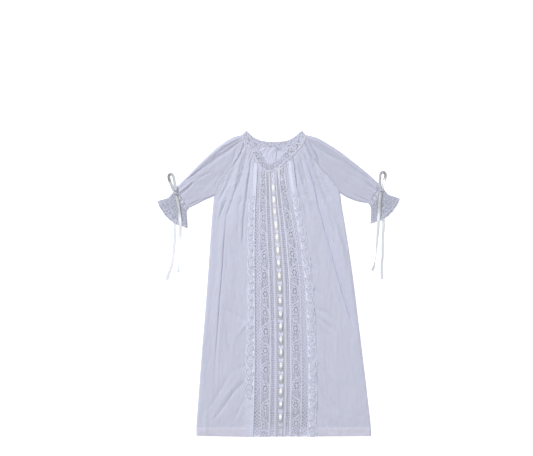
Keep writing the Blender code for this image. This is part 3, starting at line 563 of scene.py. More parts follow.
# The side frills' flutes. Each row is a crease between two flutes: its height at the inner edge,
# how much lower it runs out at the free edge, how deep it is, and over, which is 1 where the upper
# flute lies on the lower one and -1 where it lies under it. By the neck and along the left one's
# last rows, a frill lies nearly flat.
FLUTES_LEFT = [
    # y, slant, depth, over
    (262, 2, 0.12, 1), (240, 5, 0.16, 1), (214, 3, 0.14, -1), (196, 9, 0.35, 1), (180, 10, 0.55, 1),
    (164, 4, 0.7, -1), (146, 11, 0.85, 1), (130, 6, 0.6, 1), (113, 12, 0.75, 1), (95, 5, 0.6, -1),
    (78, 12, 0.8, 1), (60, 7, 0.6, 1), (42, 12, 0.85, 1), (22, 5, 0.6, -1), (8, 12, 0.8, 1),
    (-10, 14, 1, 1), (-30, 12, 0.9, 1), (-50, 6, 0.7, 1), (-68, 14, 0.95, 1), (-90, 12, 1, 1),
    (-104, 15, 0.9, 1), (-124, 4, 0.5, -1), (-138, -3, 0.95, -1), (-155, 3, 0.6, 1),
    (-173, 12, 0.9, 1), (-192, 13, 0.9, 1), (-207, 9, 0.7, 1), (-223, -4, 1.05, -1),
    (-246, 10, 0.7, 1), (-268, 4, 0.3, 1), (-300, 3, 0.15, 1), (-336.5, 2, 0.1, 1),
]
FLUTES_RIGHT = [
    # y, slant, depth, over
    (268, 2, 0.12, 1), (244, 4, 0.15, 1), (222, 6, 0.2, 1), (200, 9, 0.5, 1), (184, 11, 0.75, -1),
    (166, 10, 0.8, 1), (150, 12, 0.85, 1), (132, 8, 0.75, 1), (114, 12, 0.9, 1), (97, 10, 0.8, 1),
    (78, 12, 0.85, 1), (58, 8, 0.8, -1), (38, 13, 0.9, 1), (16, 10, 0.9, 1), (-6, 13, 1, 1),
    (-24, 4, 0.7, -1), (-36, 12, 0.9, 1), (-62, -3, 0.8, -1), (-72, 14, 1.05, 1),
    (-100, 12, 0.9, 1), (-122, 10, 0.8, 1), (-146, -6, 1.1, -1), (-156, 14, 1, 1),
    (-184, 12, 0.9, 1), (-206, 14, 1.05, 1), (-226, 8, 0.9, -1), (-246, 13, 1, 1),
    (-270, 11, 1, 1), (-292, 10, 0.9, 1), (-312, 6, 0.7, 1), (-336.5, 2, 0.5, 1),
]
FRILL_WIDTHS = [
    # y, left, right
    (268, 10, 11), (240, 12, 14), (190, 12.5, 13), (150, 15, 14.5), (100, 15, 16),
    (-60, 15.5, 17.5), (-150, 19.5, 18.8), (-230, 20.5, 18.8), (-336.5, 18.5, 18),
]

# Ribbon tails from the cuff to their cut ends. z is the middle of the ribbon, and turn is how far
# it stands off flat, in degrees.
TAIL_FRONT_LEFT = [
    # x, y, z, turn
    (-225.6, 193.6, 7, 0), (-222.5, 183, 7.4, 0), (-219.8, 168.6, 7.7, 4), (-217.8, 151.9, 7.9, 5),
    (-216.3, 137, 7.6, 6), (-215.8, 121, 5.4, 10), (-216.5, 101.3, 2.4, 25),
    (-217.4, 84.4, 3.6, 55), (-218.7, 62.6, 3.9, 68), (-220.2, 42.4, 3.2, 50),
    (-220.7, 25.6, 1.6, 15),
]
TAIL_BACK_LEFT = [
    # x, y, z, turn
    (-224, 181, 2.6, 0), (-226.6, 158, 2.6, 0), (-228.1, 133.2, 2.5, 0), (-228.1, 118.3, 2, 10),
    (-227.7, 101.3, 1.9, 15), (-229.5, 84.4, 2.4, 25), (-231, 67.7, 2.6, 35),
    (-234.1, 45.7, 2.6, 30), (-238.9, 30.3, 2.1, 20), (-246.6, 8.7, 1, 5),
]
TAIL_FRONT_RIGHT = [
    # x, y, z, turn
    (224, 200.4, 7, 0), (223, 190, 7.4, 0), (222, 175.7, 7.7, -4), (220.7, 157.9, 7.9, -5),
    (219.6, 141, 7.6, -6), (218.5, 125, 5.4, -10), (217.1, 99.8, 2.4, -25), (215.4, 75.6, 3.6, -55),
    (213, 54.7, 3.9, -65), (209.9, 38.6, 3, -40), (205, 28.5, 1.6, -15),
]
TAIL_BACK_RIGHT = [
    # x, y, z, turn
    (224.6, 190, 2.6, 0), (227.5, 166, 2.6, 0), (230.1, 141.8, 2.5, 0), (230.3, 124, 2, -10),
    (229.2, 107.9, 1.9, -15), (228.8, 83.7, 2.4, -25), (228.4, 59.5, 2.6, -30),
    (226.8, 40.2, 2, -20), (227.3, 10.7, 1, -5),
]
LOOP_TURN = 28  # as in the tails
LOOP_LEFT = [
    # x, y, z
    (-229.8, 204.2, 7.6), (-233.4, 212.6, 6.6), (-237.4, 221.8, 4.8), (-240.9, 231, 3.6),
    (-240.8, 238.4, 3.4), (-236.4, 241, 3.4), (-232, 237.6, 3.8), (-229.4, 226.8, 5.4),
    (-227.2, 214.5, 7.8), (-225.6, 205, 8.6),
]
LOOP_RIGHT = [
    # x, y, z
    (228.2, 208.6, 7.6), (229.2, 215.6, 6.6), (230.8, 223.6, 4.8), (233.6, 232, 3.6),
    (234.6, 239.6, 3.4), (231.4, 244.8, 3.4), (226.4, 244.6, 3.4), (223.4, 238.6, 3.8),
    (222.7, 228, 5.4), (222.4, 217, 7.8), (223.2, 209.6, 8.6),
]
KNOT_LEFT, KNOT_RIGHT = (-226.9, 199, 7.3), (225.2, 205.8, 7.3)


# ---------------- shapes


def array(table):
    return np.array(table, float)


def through(table, at):
    """Points of a smooth curve through a table's rows, at fractional row numbers."""
    table = array(table)
    at = np.asarray(at, float)
    low = np.clip(np.floor(at).astype(int), 0, len(table) - 2)
    t = (at - low)[..., None]
    a, b, c, d = (table[np.clip(low + k, 0, len(table) - 1)] for k in (-1, 0, 1, 2))
    bend = (2 * a - 5 * b + 4 * c - d) * t**2 + (3 * b - a - 3 * c + d) * t**3
    return 0.5 * (2 * b + (c - a) * t + bend)


def mix(a, b, share):
    return a + (b - a) * share


def hump(q):
    """1 at 0, falling smoothly to 0 at 1 and beyond."""
    q = np.minimum(np.abs(q), 1)
    return (1 - q * q) ** 2


def ease(q):
    q = np.clip(q, 0, 1)
    return q * q * (3 - 2 * q)


def segment_distance(x, y, line, reach):
    """Distance to the nearest point of a line through points, its side, which is above 0 on the
    right of the line's run, and the fractional row of that nearest point. Only points within
    reach are worked out."""
    line = array(line)
    x, y = np.asarray(x, float), np.asarray(y, float)
    best = np.full(x.shape, 1e9)
    side = np.zeros(x.shape)
    place = np.zeros(x.shape)
    for i, (a, b) in enumerate(zip(line[:-1, :2], line[1:, :2])):
        low, high = np.minimum(a, b) - reach, np.maximum(a, b) + reach
        near = np.nonzero((x > low[0]) & (x < high[0]) & (y > low[1]) & (y < high[1]))
        run, dx, dy = b - a, x[near] - a[0], y[near] - a[1]
        t = np.clip((dx * run[0] + dy * run[1]) / (run @ run), 0, 1)
        dx, dy = dx - t * run[0], dy - t * run[1]
        far = np.hypot(dx, dy)
        nearer = far < best[near]
        spots = tuple(index[nearer] for index in near)
        best[spots] = far[nearer]
        side[spots] = np.sign(dx * run[1] - dy * run[0])[nearer]
        place[spots] = i + t[nearer]
    return best, side, place


def outline():
    """The folded edges of the gown: sleeves' top and low edges and both sides."""
    chains = []
    for sleeve, side in ((SLEEVE_LEFT, 0), (SLEEVE_RIGHT, 6)):
        tip = NECK_FRONT[0] if side == 0 else NECK_FRONT[-1]
        chains.append([tip[2:]] + [row[:2] for row in sleeve])
        chains.append([row[2:] for row in sleeve[UNDERARM:]])
        chains.append([row[side : side + 2] for row in BODY[UNDERARM:]])
    return chains


OUTLINE = outline()
RAGLANS = [[row[:2] for row in BODY[: UNDERARM + 1]], [row[6:] for row in BODY[: UNDERARM + 1]]]


def rolled(depth):
    """0 at a fold's edge to 1 where the layer above it lies level."""
    share = 1 - np.clip(depth / FOLD_REACH, 0, 1)
    return np.sqrt(1 - share**2)


def level(x, y):
    """Height of the upper layer without its creases."""
    depth = np.min([segment_distance(x, y, chain, FOLD_REACH)[0] for chain in OUTLINE], axis=0)
    return mix(FOLD_Z, FRONT_Z, rolled(depth))


def creases(x, y):
    total = np.zeros(np.shape(x))
    for rows in CREASES.values():
        rows = array(rows)
        far, side, place = segment_distance(x, y, rows, rows[:, 3:].max())
        low = np.clip(place.astype(int), 0, len(rows) - 2)
        share = (place - low)[..., None]
        rise, left, right = np.moveaxis(mix(rows[low, 2:], rows[low + 1, 2:], share), -1, 0)
        # The rows run down the cloth, so the right of a line's run is the gown's left.
        total += rise * hump(far / np.where(side > 0, left, right))
    return total


def seams(x, y):
    """The small puckers along each raglan seam."""
    puckers = 0.35 + 0.75 * np.sin(y * 1.15 + 1.6 * np.sin(y * 0.33))
    far = (segment_distance(x, y, line, RAGLAN_REACH)[0] for line in RAGLANS)
    return sum(puckers * hump(away / RAGLAN_REACH) for away in far)


def front_place(at, down):
    """Where a point of the front lies. at counts as in GATHERS and down is a row of BODY."""
    at, down = np.broadcast_arrays(np.asarray(at, float), np.asarray(down, float))
    rows = through(BODY, down)
    panel = np.clip(at.astype(int), 0, 2)
    share = at - panel
    pick = np.arange(at.size).reshape(at.shape)
    flat = rows.reshape(-1, 8)
    left = np.stack([flat[pick, 2 * panel], flat[pick, 2 * panel + 1]], -1)
    right = np.stack([flat[pick, 2 * panel + 2], flat[pick, 2 * panel + 3]], -1)
    stations = np.array(NECK_STATIONS, float)
    start, end = stations[panel], stations[panel + 1]
    band = array(NECK_FRONT)[:, :2]
    curve = through(band, mix(start, end, share))
    chord = mix(band[start.astype(int)], band[end.astype(int)], share[..., None])
    fade = np.clip(1 - down / UNDERARM, 0, 1) ** 2
    spot = mix(left, right, share[..., None]) + (curve - chord) * fade[..., None]
    width = np.hypot(*np.moveaxis(right - left, -1, 0))
    return spot[..., 0], spot[..., 1], width


def gathers(at, y, width):
    total = np.zeros(np.shape(y))
    top = front_place(at, np.zeros(np.shape(y)))[1]
    for place, rise, length, spread in GATHERS:
        near = hump((at - place) * width / spread)
        total += rise * near * (1 - ease((top - y) / length)) * mix(0.55, 1, ease((top - y) / 12))
    return total


def front_point(at, down, lift=0):
    x, y, width = front_place(at, down)
    z = level(x, y) + gathers(at, y, width) + seams(x, y)
    plain = (at < 1) | (at > 2)
    z[plain] += creases(x[plain], y[plain])
    hem = HEM_RISE * ease((y - mix(BODY[HEM][1], BODY[HEM][3], 0.5) - HEM_DEPTH + 1.2) / -2.4)
    return x, y, np.maximum(z, LOWEST) + hem + lift


def band_at(band, across, down):
    """The at of a point of a lace band, from 0 at its left edge to 1 at its right one."""
    y = np.interp(down, np.arange(len(BODY)), array(BODY)[:, 3])
    heights = array(BAND_EDGES)[::-1]
    edges = [np.zeros(np.shape(y))]
    edges += [np.interp(y, heights[:, 0], heights[:, k]) for k in range(1, 7)]
    edges += [np.ones(np.shape(y))]
    return 1 + mix(edges[band], edges[band + 1], across)


def down_of(y):
    """The row of BODY at a height on the lace panel."""
    ys = array(BODY)[:, 3]
    return np.interp(-np.asarray(y, float), -ys, np.arange(len(BODY)))


# ---------------- meshes


def weave_on(data, grains):
    """Gives a mesh its own weave coordinates, from each point's place on the flat cloth."""
    corners = np.empty(len(data.loops), np.int32)
    data.loops.foreach_get("vertex_index", corners)
    weave = grains[corners] * MM
    data.uv_layers.new(name="weave").uv.foreach_set("vector", weave.astype(np.float32).ravel())
    return weave


def finish_mesh(name, data, finish):
    data.materials.append(look(finish))
    data.shade_smooth()
    made = bpy.data.objects.new(name, data)
    bpy.context.scene.collection.objects.link(made)
    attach(made, "root")
    return made


def sheet(
    name, grid, place, finish, grain, wall=0.5, tube=False, open_at=None, fine=None, lobes=None
):
    """A cloth sheet in a grid of columns and rows. place takes arrays of shares across and down
    and gives x, y, z. grain is the cloth's own width and length, for its weave and for open_at,
    which says where a cell is left open. wall is its thickness, and a tube's two sides are joined.
    fine is the share across at which the columns lie closest. lobes says how far inside a gathered
    lobe a point lies, for the painted shade and light of its finish."""
    columns, rows = grid
    mesh = bmesh.new()
    bmesh.ops.create_grid(mesh, x_segments=columns, y_segments=rows, size=0.5)
    data = bpy.data.meshes.new(name)
    mesh.to_mesh(data)
    mesh.free()
    points = np.empty(len(data.vertices) * 3, np.float32)
    data.vertices.foreach_get("co", points)
    points = points.reshape(-1, 3)
    across = np.round((points[:, 0] + 0.5) * columns) / columns
    down = np.round((0.5 - points[:, 1]) * rows) / rows
    if fine is not None:
        drawn = np.sin(TURN * (across - fine)) + math.sin(TURN * fine)
        across = across - CROWDING / TURN * drawn
    spots = np.stack(place(across.astype(float), down.astype(float)), -1) * MM
    data.vertices.foreach_set("co", spots.astype(np.float32).ravel())
    if lobes:
        inside = lobes(across.astype(float), down.astype(float))
        kept = data.attributes.new("lobes", "FLOAT", "POINT")
        kept.data.foreach_set("value", inside.astype(np.float32))
    weave = weave_on(data, np.stack([across * grain[0], down * grain[1]], -1))
    if tube or open_at:
        mesh = bmesh.new()
        mesh.from_mesh(data)
        if open_at:
            middles = (weave / MM).reshape(-1, 4, 2).mean(1)
            hollow = open_at(middles[:, 0], middles[:, 1])
            gone = [face for face, is_open in zip(mesh.faces, hollow) if is_open]
            bmesh.ops.delete(mesh, geom=gone, context="FACES")
        if tube:
            bmesh.ops.remove_doubles(mesh, verts=mesh.verts, dist=0.001 * MM)
        mesh.to_mesh(data)
        mesh.free()
    made = finish_mesh(name, data, finish)
    solid = made.modifiers.new("wall", "SOLIDIFY")
    solid.thickness = wall * MM
    solid.offset = 0
    return made


def cords(name, strokes, finish, sides=6, flat=1):
    """Threads and cords in one mesh. Each stroke is an array of points, its radius or radii, and
    True if it closes on itself. flat squashes them towards the cloth."""
    verts, faces, grains, base = [], [], [], 0
    for points, radius, *closed in strokes:
        points = np.asarray(points, float)
        count = len(points)
        radii = np.broadcast_to(np.asarray(radius, float), (count,))
        ahead, behind = np.roll(points, -1, 0), np.roll(points, 1, 0)
        if not closed:
            ahead[-1], behind[0] = points[-1], points[0]
        run = ahead - behind
        run /= np.maximum(np.linalg.norm(run, axis=1), 1e-9)[:, None]
        side = np.cross(run, (0, 0, 1))
        side /= np.maximum(np.linalg.norm(side, axis=1), 1e-9)[:, None]
        up = np.cross(side, run)
        for k in range(sides):
            turn = TURN * k / sides
            ring = side * math.cos(turn) + up * math.sin(turn) * flat
            verts.append(points + ring * radii[:, None])
        along = np.concatenate([[0], np.cumsum(np.linalg.norm(np.diff(points, axis=0), axis=1))])
        around = radii.mean() * TURN / sides
        grains += [np.stack([np.full(count, around * k), along], -1) for k in range(sides)]
        i = np.arange(count if closed else count - 1)
        j = (i + 1) % count
        for k in range(sides):
            this, other = base + k * count, base + (k + 1) % sides * count
            faces += np.stack([this + i, this + j, other + j, other + i], -1).tolist()
        if not closed:
            faces.append([base + k * count for k in reversed(range(sides))])
            faces.append([base + k * count + count - 1 for k in range(sides)])
        base += sides * count
    data = bpy.data.meshes.new(name)
    data.from_pydata((np.concatenate(verts) * MM).tolist(), [], faces)
    data.update()
    weave_on(data, np.concatenate(grains))
    return finish_mesh(name, data, finish)


def declare(piece, nodes, area=None, extras=()):
    """Hides the solids that a piece stands for. area, what a sheet was cut to in metres, is not
    used.
    """
    extras = list(extras)
    if nodes:
        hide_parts(*nodes)


# ---------------- finishes


def operator(operation, reflected=False):
    """One of Value's operators. reflected is for a number on its left."""

    def apply(self, other):
        values = (other, self) if reflected else (self, other)
        return self.maths(operation, *values)

    return apply


class Value:
    """One output of a material's nodes. Arithmetic on it adds Math nodes."""

    def __init__(self, finish, socket):
        self.finish = finish
        self.socket = socket

    def maths(self, operation, *values):
        return self.finish.node("ShaderNodeMath", {"operation": operation}, dict(enumerate(values)))

    __add__ = __radd__ = operator("ADD")
    __mul__ = __rmul__ = operator("MULTIPLY")
    __sub__, __rsub__ = operator("SUBTRACT"), operator("SUBTRACT", True)
    __truediv__, __rtruediv__ = operator("DIVIDE"), operator("DIVIDE", True)

    def sin(self):
        return self.maths("SINE", self)

    def size(self):
        return self.maths("ABSOLUTE", self)


class Finish:
    """A material for one of the gown's cloths or threads."""

    def __init__(self, name, roughness, **constants):
        self.material = bpy.data.materials.new(name)
        self.material.use_nodes = True
        self.tree = self.material.node_tree
        self.shader = self.tree.nodes["Principled BSDF"]
        self.set(Roughness=roughness, **constants)

    def set(self, **sockets):
        for name, value in sockets.items():
            socket = self.shader.inputs[name.replace("_", " ")]
            if isinstance(value, Value):
                self.tree.links.new(value.socket, socket)
            elif isinstance(value, tuple) and len(value) == 3 and socket.type == "RGBA":
                socket.default_value = (*value, 1)
            else:
                socket.default_value = value
        return self

    def node(self, kind, settings=None, inputs=None, output=0):
        made = self.tree.nodes.new(kind)
        for name, value in (settings or {}).items():
            setattr(made, name, value)
        for name, value in (inputs or {}).items():
            if isinstance(value, Value):
                self.tree.links.new(value.socket, made.inputs[name])
            else:
                made.inputs[name].default_value = value
        return Value(self, made.outputs[output])

    def apart(self, place):
        """The first two parts of a place."""
        x = self.node("ShaderNodeSeparateXYZ", inputs={0: place})
        return x, Value(self, x.socket.node.outputs[1])

    def weave(self):
        """The cloth's own coordinates in millimetres, across and along it."""
        across, along = self.apart(self.node("ShaderNodeUVMap", {"uv_map": "weave"}))
        return across * 1000, along * 1000

    def cloud(self, across, along, grain, detail=2):
        """Soft noise from 0 to 1 that is grain millimetres wide and long."""
        shares = {0: across / grain[0], 1: along / grain[1]}
        place = self.node("ShaderNodeCombineXYZ", inputs=shares)
        inputs = {"Vector": place, "Scale": 1, "Detail": detail}
        return self.node("ShaderNodeTexNoise", inputs=inputs)

    def blend(self, share, a, b):
        """A colour between a and b."""
        a, b = (colour if isinstance(colour, Value) else (*colour, 1) for colour in (a, b))
        return self.node("ShaderNodeMix", {"data_type": "RGBA"}, {0: share, 6: a, 7: b}, output=2)

    def shades(self, share, colour, low, high):
        """One colour, from the low share of its lightness to the high one."""
        return self.blend(share, darker(colour, low), darker(colour, high))

    def rise(self, value, start, end):
        """0 where a value is at start or before it, to 1 where it is at end or past it."""
        inputs = {"Value": value, "From Min": start, "From Max": end}
        return self.node("ShaderNodeMapRange", inputs=inputs)

    def relief(self, height, depth, **below):
        """A normal from a height of 0 to 1 over depth millimetres."""
        inputs = {"Height": height, "Distance": depth * MM, **below}
        return self.node("ShaderNodeBump", inputs=inputs)


def darker(colour, share, tint=(1, 1, 1)):
    """A colour at a share of its lightness. tint changes its hue."""
    return tuple(c * share * t for c, t in zip(colour, tint))


def batiste(colours, share=1, name="batiste"):
    """Plain cotton. Where it is doubled in the hem, it looks a little paler."""
    finish = Finish(name, 0.85, Sheen_Weight=0.25, Sheen_Roughness=0.5)
    across, along = finish.weave()
    pitch = TURN / 0.42
    threads = (across * pitch).sin() * 0.5 + (along * pitch).sin() * 0.5
    slubs = finish.cloud(across, along, (0.9, 26)) * 0.5
    slubs = slubs + finish.cloud(across, along, (26, 0.9)) * 0.5
    crumple = finish.cloud(across, along, (9, 15), 3)
    broad = finish.cloud(across, along, (30, 52))
    patches = finish.cloud(across, along, (34, 60))
    tone = slubs * 0.45 + patches * 0.55
    _, height = finish.apart(finish.node("ShaderNodeTexCoord", output=3))
    edge = (BODY[HEM][1] + HEM_DEPTH) * MM
    hem = finish.rise(height, edge, edge - 1.2 * MM)
    doubled = darker(colours.batiste, share, (1, 0.97, 0.955))
    dark = finish.blend(hem, darker(colours.batiste, 0.93 * share), doubled)
    pale = finish.blend(hem, darker(colours.batiste, 1.06 * share), darker(doubled, 1.14))
    colour = finish.blend(tone, dark, pale)
    weave = finish.relief(threads * 0.5 + 0.5, 0.03)
    rumples = finish.relief(broad, 3, Normal=weave)
    rumples = finish.relief(crumple, 1.7, Normal=rumples)
    return finish.set(Base_Color=colour, Normal=rumples).material


def back_batiste(colours):
    return batiste(colours, 1.1, "back_batiste")


def sleeve_batiste_painted_shade(colours):
    """The same cotton, made darker over the sleeves as painted shade."""
    return batiste(colours, 0.92, "sleeve_batiste_painted_shade")


def hem_shade(finish, along):
    """Where the lace gets painted shade: 1 on its last part above the hem's seam, falling to 0 over
    the hem and farther up.
    """
    return finish.rise(along, 475, 560) * finish.rise(along, 586, 580)


def lace_net(colours):
    """The net bands: round holes between the crossing threads."""
    finish = Finish("lace_net", 0.9)
    across, along = finish.weave()
    pitch = TURN / (bpy.context.scene.daygown_sizes.net_mesh / MM)
    holes = ((across * pitch + TURN / 4).sin() - (along * pitch + TURN / 4).sin()).size()
    solid = finish.node("ShaderNodeMath", {"operation": "LESS_THAN"}, {0: holes, 1: 0.95})
    patches = finish.cloud(across, along, (7, 11))
    colour = finish.shades(patches, colours.lace, 0.92, 1.12)
    # Painted shade on the net's last part above the hem.
    colour = finish.blend(hem_shade(finish, along) * 0.6, colour, darker(colours.lace, 0.5))
    return finish.set(Base_Color=colour, Alpha=solid).material


def gathered(finish, across, along, colour, colours):
    """The same lace with painted shade: dark narrow pleat shadows where it is drawn up at the neck,
    and a little painted shade just over the hem."""
    pleats = finish.cloud(across, along, (1.5, 9), 3)
    dark = finish.rise(pleats, 0.42, 0.56)
    near = finish.rise(along, 125, 60)
    shade = dark * near * 0.75 + hem_shade(finish, along) * (dark * 0.25 + 0.17)
    # The darker colour is painted shade in the pleats and over the hem.
    return finish.blend(shade, colour, darker(colours.lace, 0.55, (1.08, 1, 0.9)))


def lace_ground(colours, share=1.13, name="lace_ground", contrast=0.1, grain=(4, 5)):
    """The fine net that the lace's threads are worked on, in closer and in more open patches."""
    finish = Finish(name, 0.9, Alpha=0.93)
    across, along = finish.weave()
    pitch = TURN / 1.3
    net = ((across + along) * pitch).sin() * ((across - along) * pitch).sin()
    patches = finish.cloud(across, along, grain, 3)
    worked = finish.rise(patches, 0.4, 0.6)
    thin = darker(colours.lace, share * (1 - contrast), (1.02, 0.99, 0.95))
    colour = finish.blend(worked, thin, darker(colours.lace, share * (1 + contrast)))
    if name != "neck_lace":
        colour = gathered(finish, across, along, colour, colours)
    return finish.set(Base_Color=colour, Normal=finish.relief(net * 0.5 + 0.5, 0.12)).material


def scroll_lace(colours):
    """The ground of the scroll bands, which is more open between the flowers. It is made darker as
    painted shade, for the shadow under the open net.
    """
    return lace_ground(colours, 0.92, "scroll_lace", 0.22, (2.8, 3.2))


def beading_lace(colours):
    """The beading's ground, darkened with painted shade in a narrow band on each side of the
    ribbon.
    """
    finish = Finish("beading_lace", 0.9)
    across, along = finish.weave()
    middle = dict(LACE_BANDS)["lace_beading"] / 2
    off = ((across - middle).size() - 6.2).size()
    close = finish.rise(off, 1.3, 2.1)
    # Painted shade in the band beside the ribbon.
    groove_shade = darker(colours.lace, 0.7, (1.05, 1, 0.9))
    patches = finish.cloud(across, along, (3, 4))
    colour = finish.blend(close, groove_shade, finish.shades(patches, colours.lace, 1.22, 1.4))
    return finish.set(Base_Color=gathered(finish, across, along, colour, colours)).material


def neck_lace(colours):
    return lace_ground(colours, 0.83, "neck_lace", 0.34, (2.6, 3))


def lace_cloth(colours):
    """The side frills' lace: worked spots on net. Inside each gathered lobe it is darker, with a
    dark line round the lobe, both painted shade. Between the lobes and along the inner heading
    it is paler in patches, partly the heading's closer work and partly painted light.
    """
    finish = Finish("lace_cloth", 0.88, Sheen_Weight=0.2)
    across, along = finish.weave()
    spots = finish.cloud(across, along, (2.2, 2.8), 3)
    gaps = finish.rise(spots, 0.36, 0.64)
    inside = finish.node("ShaderNodeAttribute", {"attribute_name": "lobes"}, output=2)
    # Painted shade inside each lobe, and a painted shadow line round its edge.
    lobe = finish.rise(inside, 0.54, 0.6)
    outline = finish.rise((inside - 0.58).size(), 0.075, 0.03)
    by_net = finish.rise(across, 12, 6)
    bunches = finish.cloud(across, along, (30, 9))
    close = finish.rise(bunches, 0.38, 0.58)
    drawn_up = finish.rise(inside, -0.7, -0.3)
    by_neck = finish.rise(along, 115, 70)
    strip = finish.rise(across, 13, 10.5)
    # Painted light on the flat parts between the lobes, partly the inner heading's closer work.
    bright = by_net * close * (drawn_up * 0.75 + 0.25)
    plain = finish.shades(drawn_up, colours.frill, 1.02, 1.13)
    plain = finish.blend(by_neck * 0.8, plain, darker(colours.frill, 0.96))
    pale = finish.blend(bright, plain, darker(colours.frill, 1.42))
    pale = finish.blend(by_neck * strip * 0.55, pale, darker(colours.frill, 1.42))
    ground = finish.blend(gaps * 0.4 + 0.6, darker(colours.frill, 0.82), pale)
    worked = finish.shades(gaps, colours.frill, 0.77, 1.12)
    colour = finish.blend(lobe, ground, worked)
    colour = finish.blend(outline * 0.9, colour, darker(colours.frill, 0.46))
    return finish.set(Base_Color=colour, Normal=finish.relief(spots, 0.5)).material


def cuff_lace(colours):
    """The cuffs' denser lace, with its worked spots and gaps. It is darker overall as painted
    shade, with a painted shadow along the edge where it is sewn on.
    """
    finish = Finish("cuff_lace", 0.9)
    across, along = finish.weave()
    spots = finish.cloud(across, along, (3.4, 3.4), 3)
    gaps = finish.rise(spots, 0.38, 0.62)
    worked = finish.shades(gaps, colours.frill, 0.56, 0.88)
    # Painted shadow along the sewn edge.
    seam = finish.rise(along, 1.2, 3)
    colour = finish.blend(seam, darker(colours.frill, 0.5), worked)
    return finish.set(Base_Color=colour, Normal=finish.relief(spots, 1.2)).material


def lace_thread(colours):
    finish = Finish("lace_thread", 0.8, Sheen_Weight=0.3)
    across, along = finish.weave()
    twist = ((along + across * 0.7) * (TURN / 0.8)).sin()
    patches = finish.cloud(across, along, (6, 10))
    colour = finish.blend(patches, darker(colours.thread, 0.93), colours.thread)
    return finish.set(Base_Color=colour, Normal=finish.relief(twist * 0.5 + 0.5, 0.08)).material


def satin(colours, name="satin", light=1, painted_shade=None):
    """Ribbon. Its last argument, if given, puts painted shade on one stretch of it: that stretch's
    middle and half length, in millimetres along the ribbon, and how much of its paleness it keeps."""
    finish = Finish(name, 0.25, Specular_IOR_Level=0.9, Coat_Weight=0.5, Coat_Roughness=0.22)
    across, along = finish.weave()
    streaks = finish.cloud(across, along, (0.25, 14))
    rough = finish.cloud(across, along, (2, 9)) * 0.16 + 0.24
    pale = darker(colours.satin, light, (0.965, 0.99, 1.03))
    colour = finish.blend(streaks, darker(pale, 0.94), pale)
    if painted_shade:
        middle, reach, kept = painted_shade
        far = ((along - middle) / reach).size()
        lit = finish.rise(far, 0.8, 1.15)
        # Painted shade on that stretch.
        colour = finish.blend(lit, darker(pale, kept), colour)
    bump = finish.relief(streaks, 0.06)
    return finish.set(Base_Color=colour, Roughness=rough, Normal=bump).material


def loop_satin(colours):
    """A loop, darker than plain satin, with more painted shade on its outer strand."""
    return satin(colours, "loop_satin", 0.74, (31, 11, 0.55))


def tail_satin(colours):
    """The front tails, with painted shade where they lie over the cuff."""
    return satin(colours, "tail_satin", 1.08, (0, 54, 0.52))


def knot_satin(colours):
    # Darker than plain satin, as painted shade on the knot.
    return satin(colours, "knot_satin", 0.85)


def cuff_satin(colours):
    """The ribbon inside the cuff's beading lies in the lace's shade."""
    return satin(colours, "cuff_satin", 0.85)


def beading_satin(colours):
    """The ribbon in the beading: bright arches, with painted shade on the dips under the bars and
    less of it near the top.
    """
    shine = {"Specular_IOR_Level": 0.9, "Coat_Weight": 0.6, "Coat_Roughness": 0.2}
    finish = Finish("beading_satin", 0.22, **shine)
    across, along = finish.weave()
    pitch = TURN / (bpy.context.scene.daygown_sizes.beading_repeat / MM)
    arch = (along * pitch + (math.pi / 2 - 5 * pitch)).sin()
    # Painted light on each arch and painted shade on each dip, with less shade near the top.
    lit = finish.rise(arch, -0.3, 0.35)
    above = finish.rise(along, 190, 100)
    streaks = finish.cloud(across, along, (0.5, 6))
    bright = finish.shades(streaks, colours.satin, 0.9, 1.08)
    lit = finish.node("ShaderNodeMath", {"operation": "MAXIMUM"}, {0: lit, 1: above * 0.75})
    dip_shade = darker(colours.satin, 0.74, (0.96, 0.99, 1.05))
    colour = finish.blend(lit, dip_shade, bright)
    return finish.set(Base_Color=colour, Normal=finish.relief(streaks, 0.08)).material


LOOKS = {}


def look(finish):
    """One of the gown's finishes, made the first time that it is asked for."""
    if finish not in LOOKS:
        LOOKS[finish] = finish(bpy.context.scene.daygown_colours)
    return LOOKS[finish]


# ---------------- settings


class DaygownSizes(bpy.types.PropertyGroup):
    frill_width: FloatProperty(
        name="Frill width", description="Width of each side frill", default=0.018, unit="LENGTH"
    )
    cuff_flutes: IntProperty(
        name="Cuff flutes", description="Flutes across each cuff frill", default=5, min=2
    )
    ribbon_width: FloatProperty(
        name="Ribbon width",
        description="Width of all satin ribbons",
        default=0.007,
        unit="LENGTH",
    )
    net_mesh: FloatProperty(
        name="Net mesh",
        description="Length of the net's diamonds",
        default=0.0074,
        unit="LENGTH",
    )
    scroll_repeat: FloatProperty(
        name="Scroll repeat",
        description="Length of one rosette and stem",
        default=0.04125,
        unit="LENGTH",
    )
    beading_repeat: FloatProperty(
        name="Beading repeat",
        description="Length of one slot and its bars",
        default=0.02806,
        unit="LENGTH",
    )


class DaygownColours(bpy.types.PropertyGroup):
    batiste: FloatVectorProperty(
        name="Batiste",
        description="The plain cotton",
        subtype="COLOR",
        size=3,
        default=(0.645, 0.665, 0.81),
    )
    lace: FloatVectorProperty(
        name="Lace",
        description="The net ground",
        subtype="COLOR",
        size=3,
        default=(0.72, 0.74, 0.92),
    )
    frill: FloatVectorProperty(
        name="Frill",
        description="The gathered lace",
        subtype="COLOR",
        size=3,
        default=(0.70, 0.725, 0.885),
    )
    thread: FloatVectorProperty(
        name="Thread",
        description="Raised threads",
        subtype="COLOR",
        size=3,
        default=(0.84, 0.865, 1),
    )
    satin: FloatVectorProperty(
        name="Satin",
        description="The ribbons",
        subtype="COLOR",
        size=3,
        default=(0.91, 0.92, 0.94),
    )


# ---------------- pieces


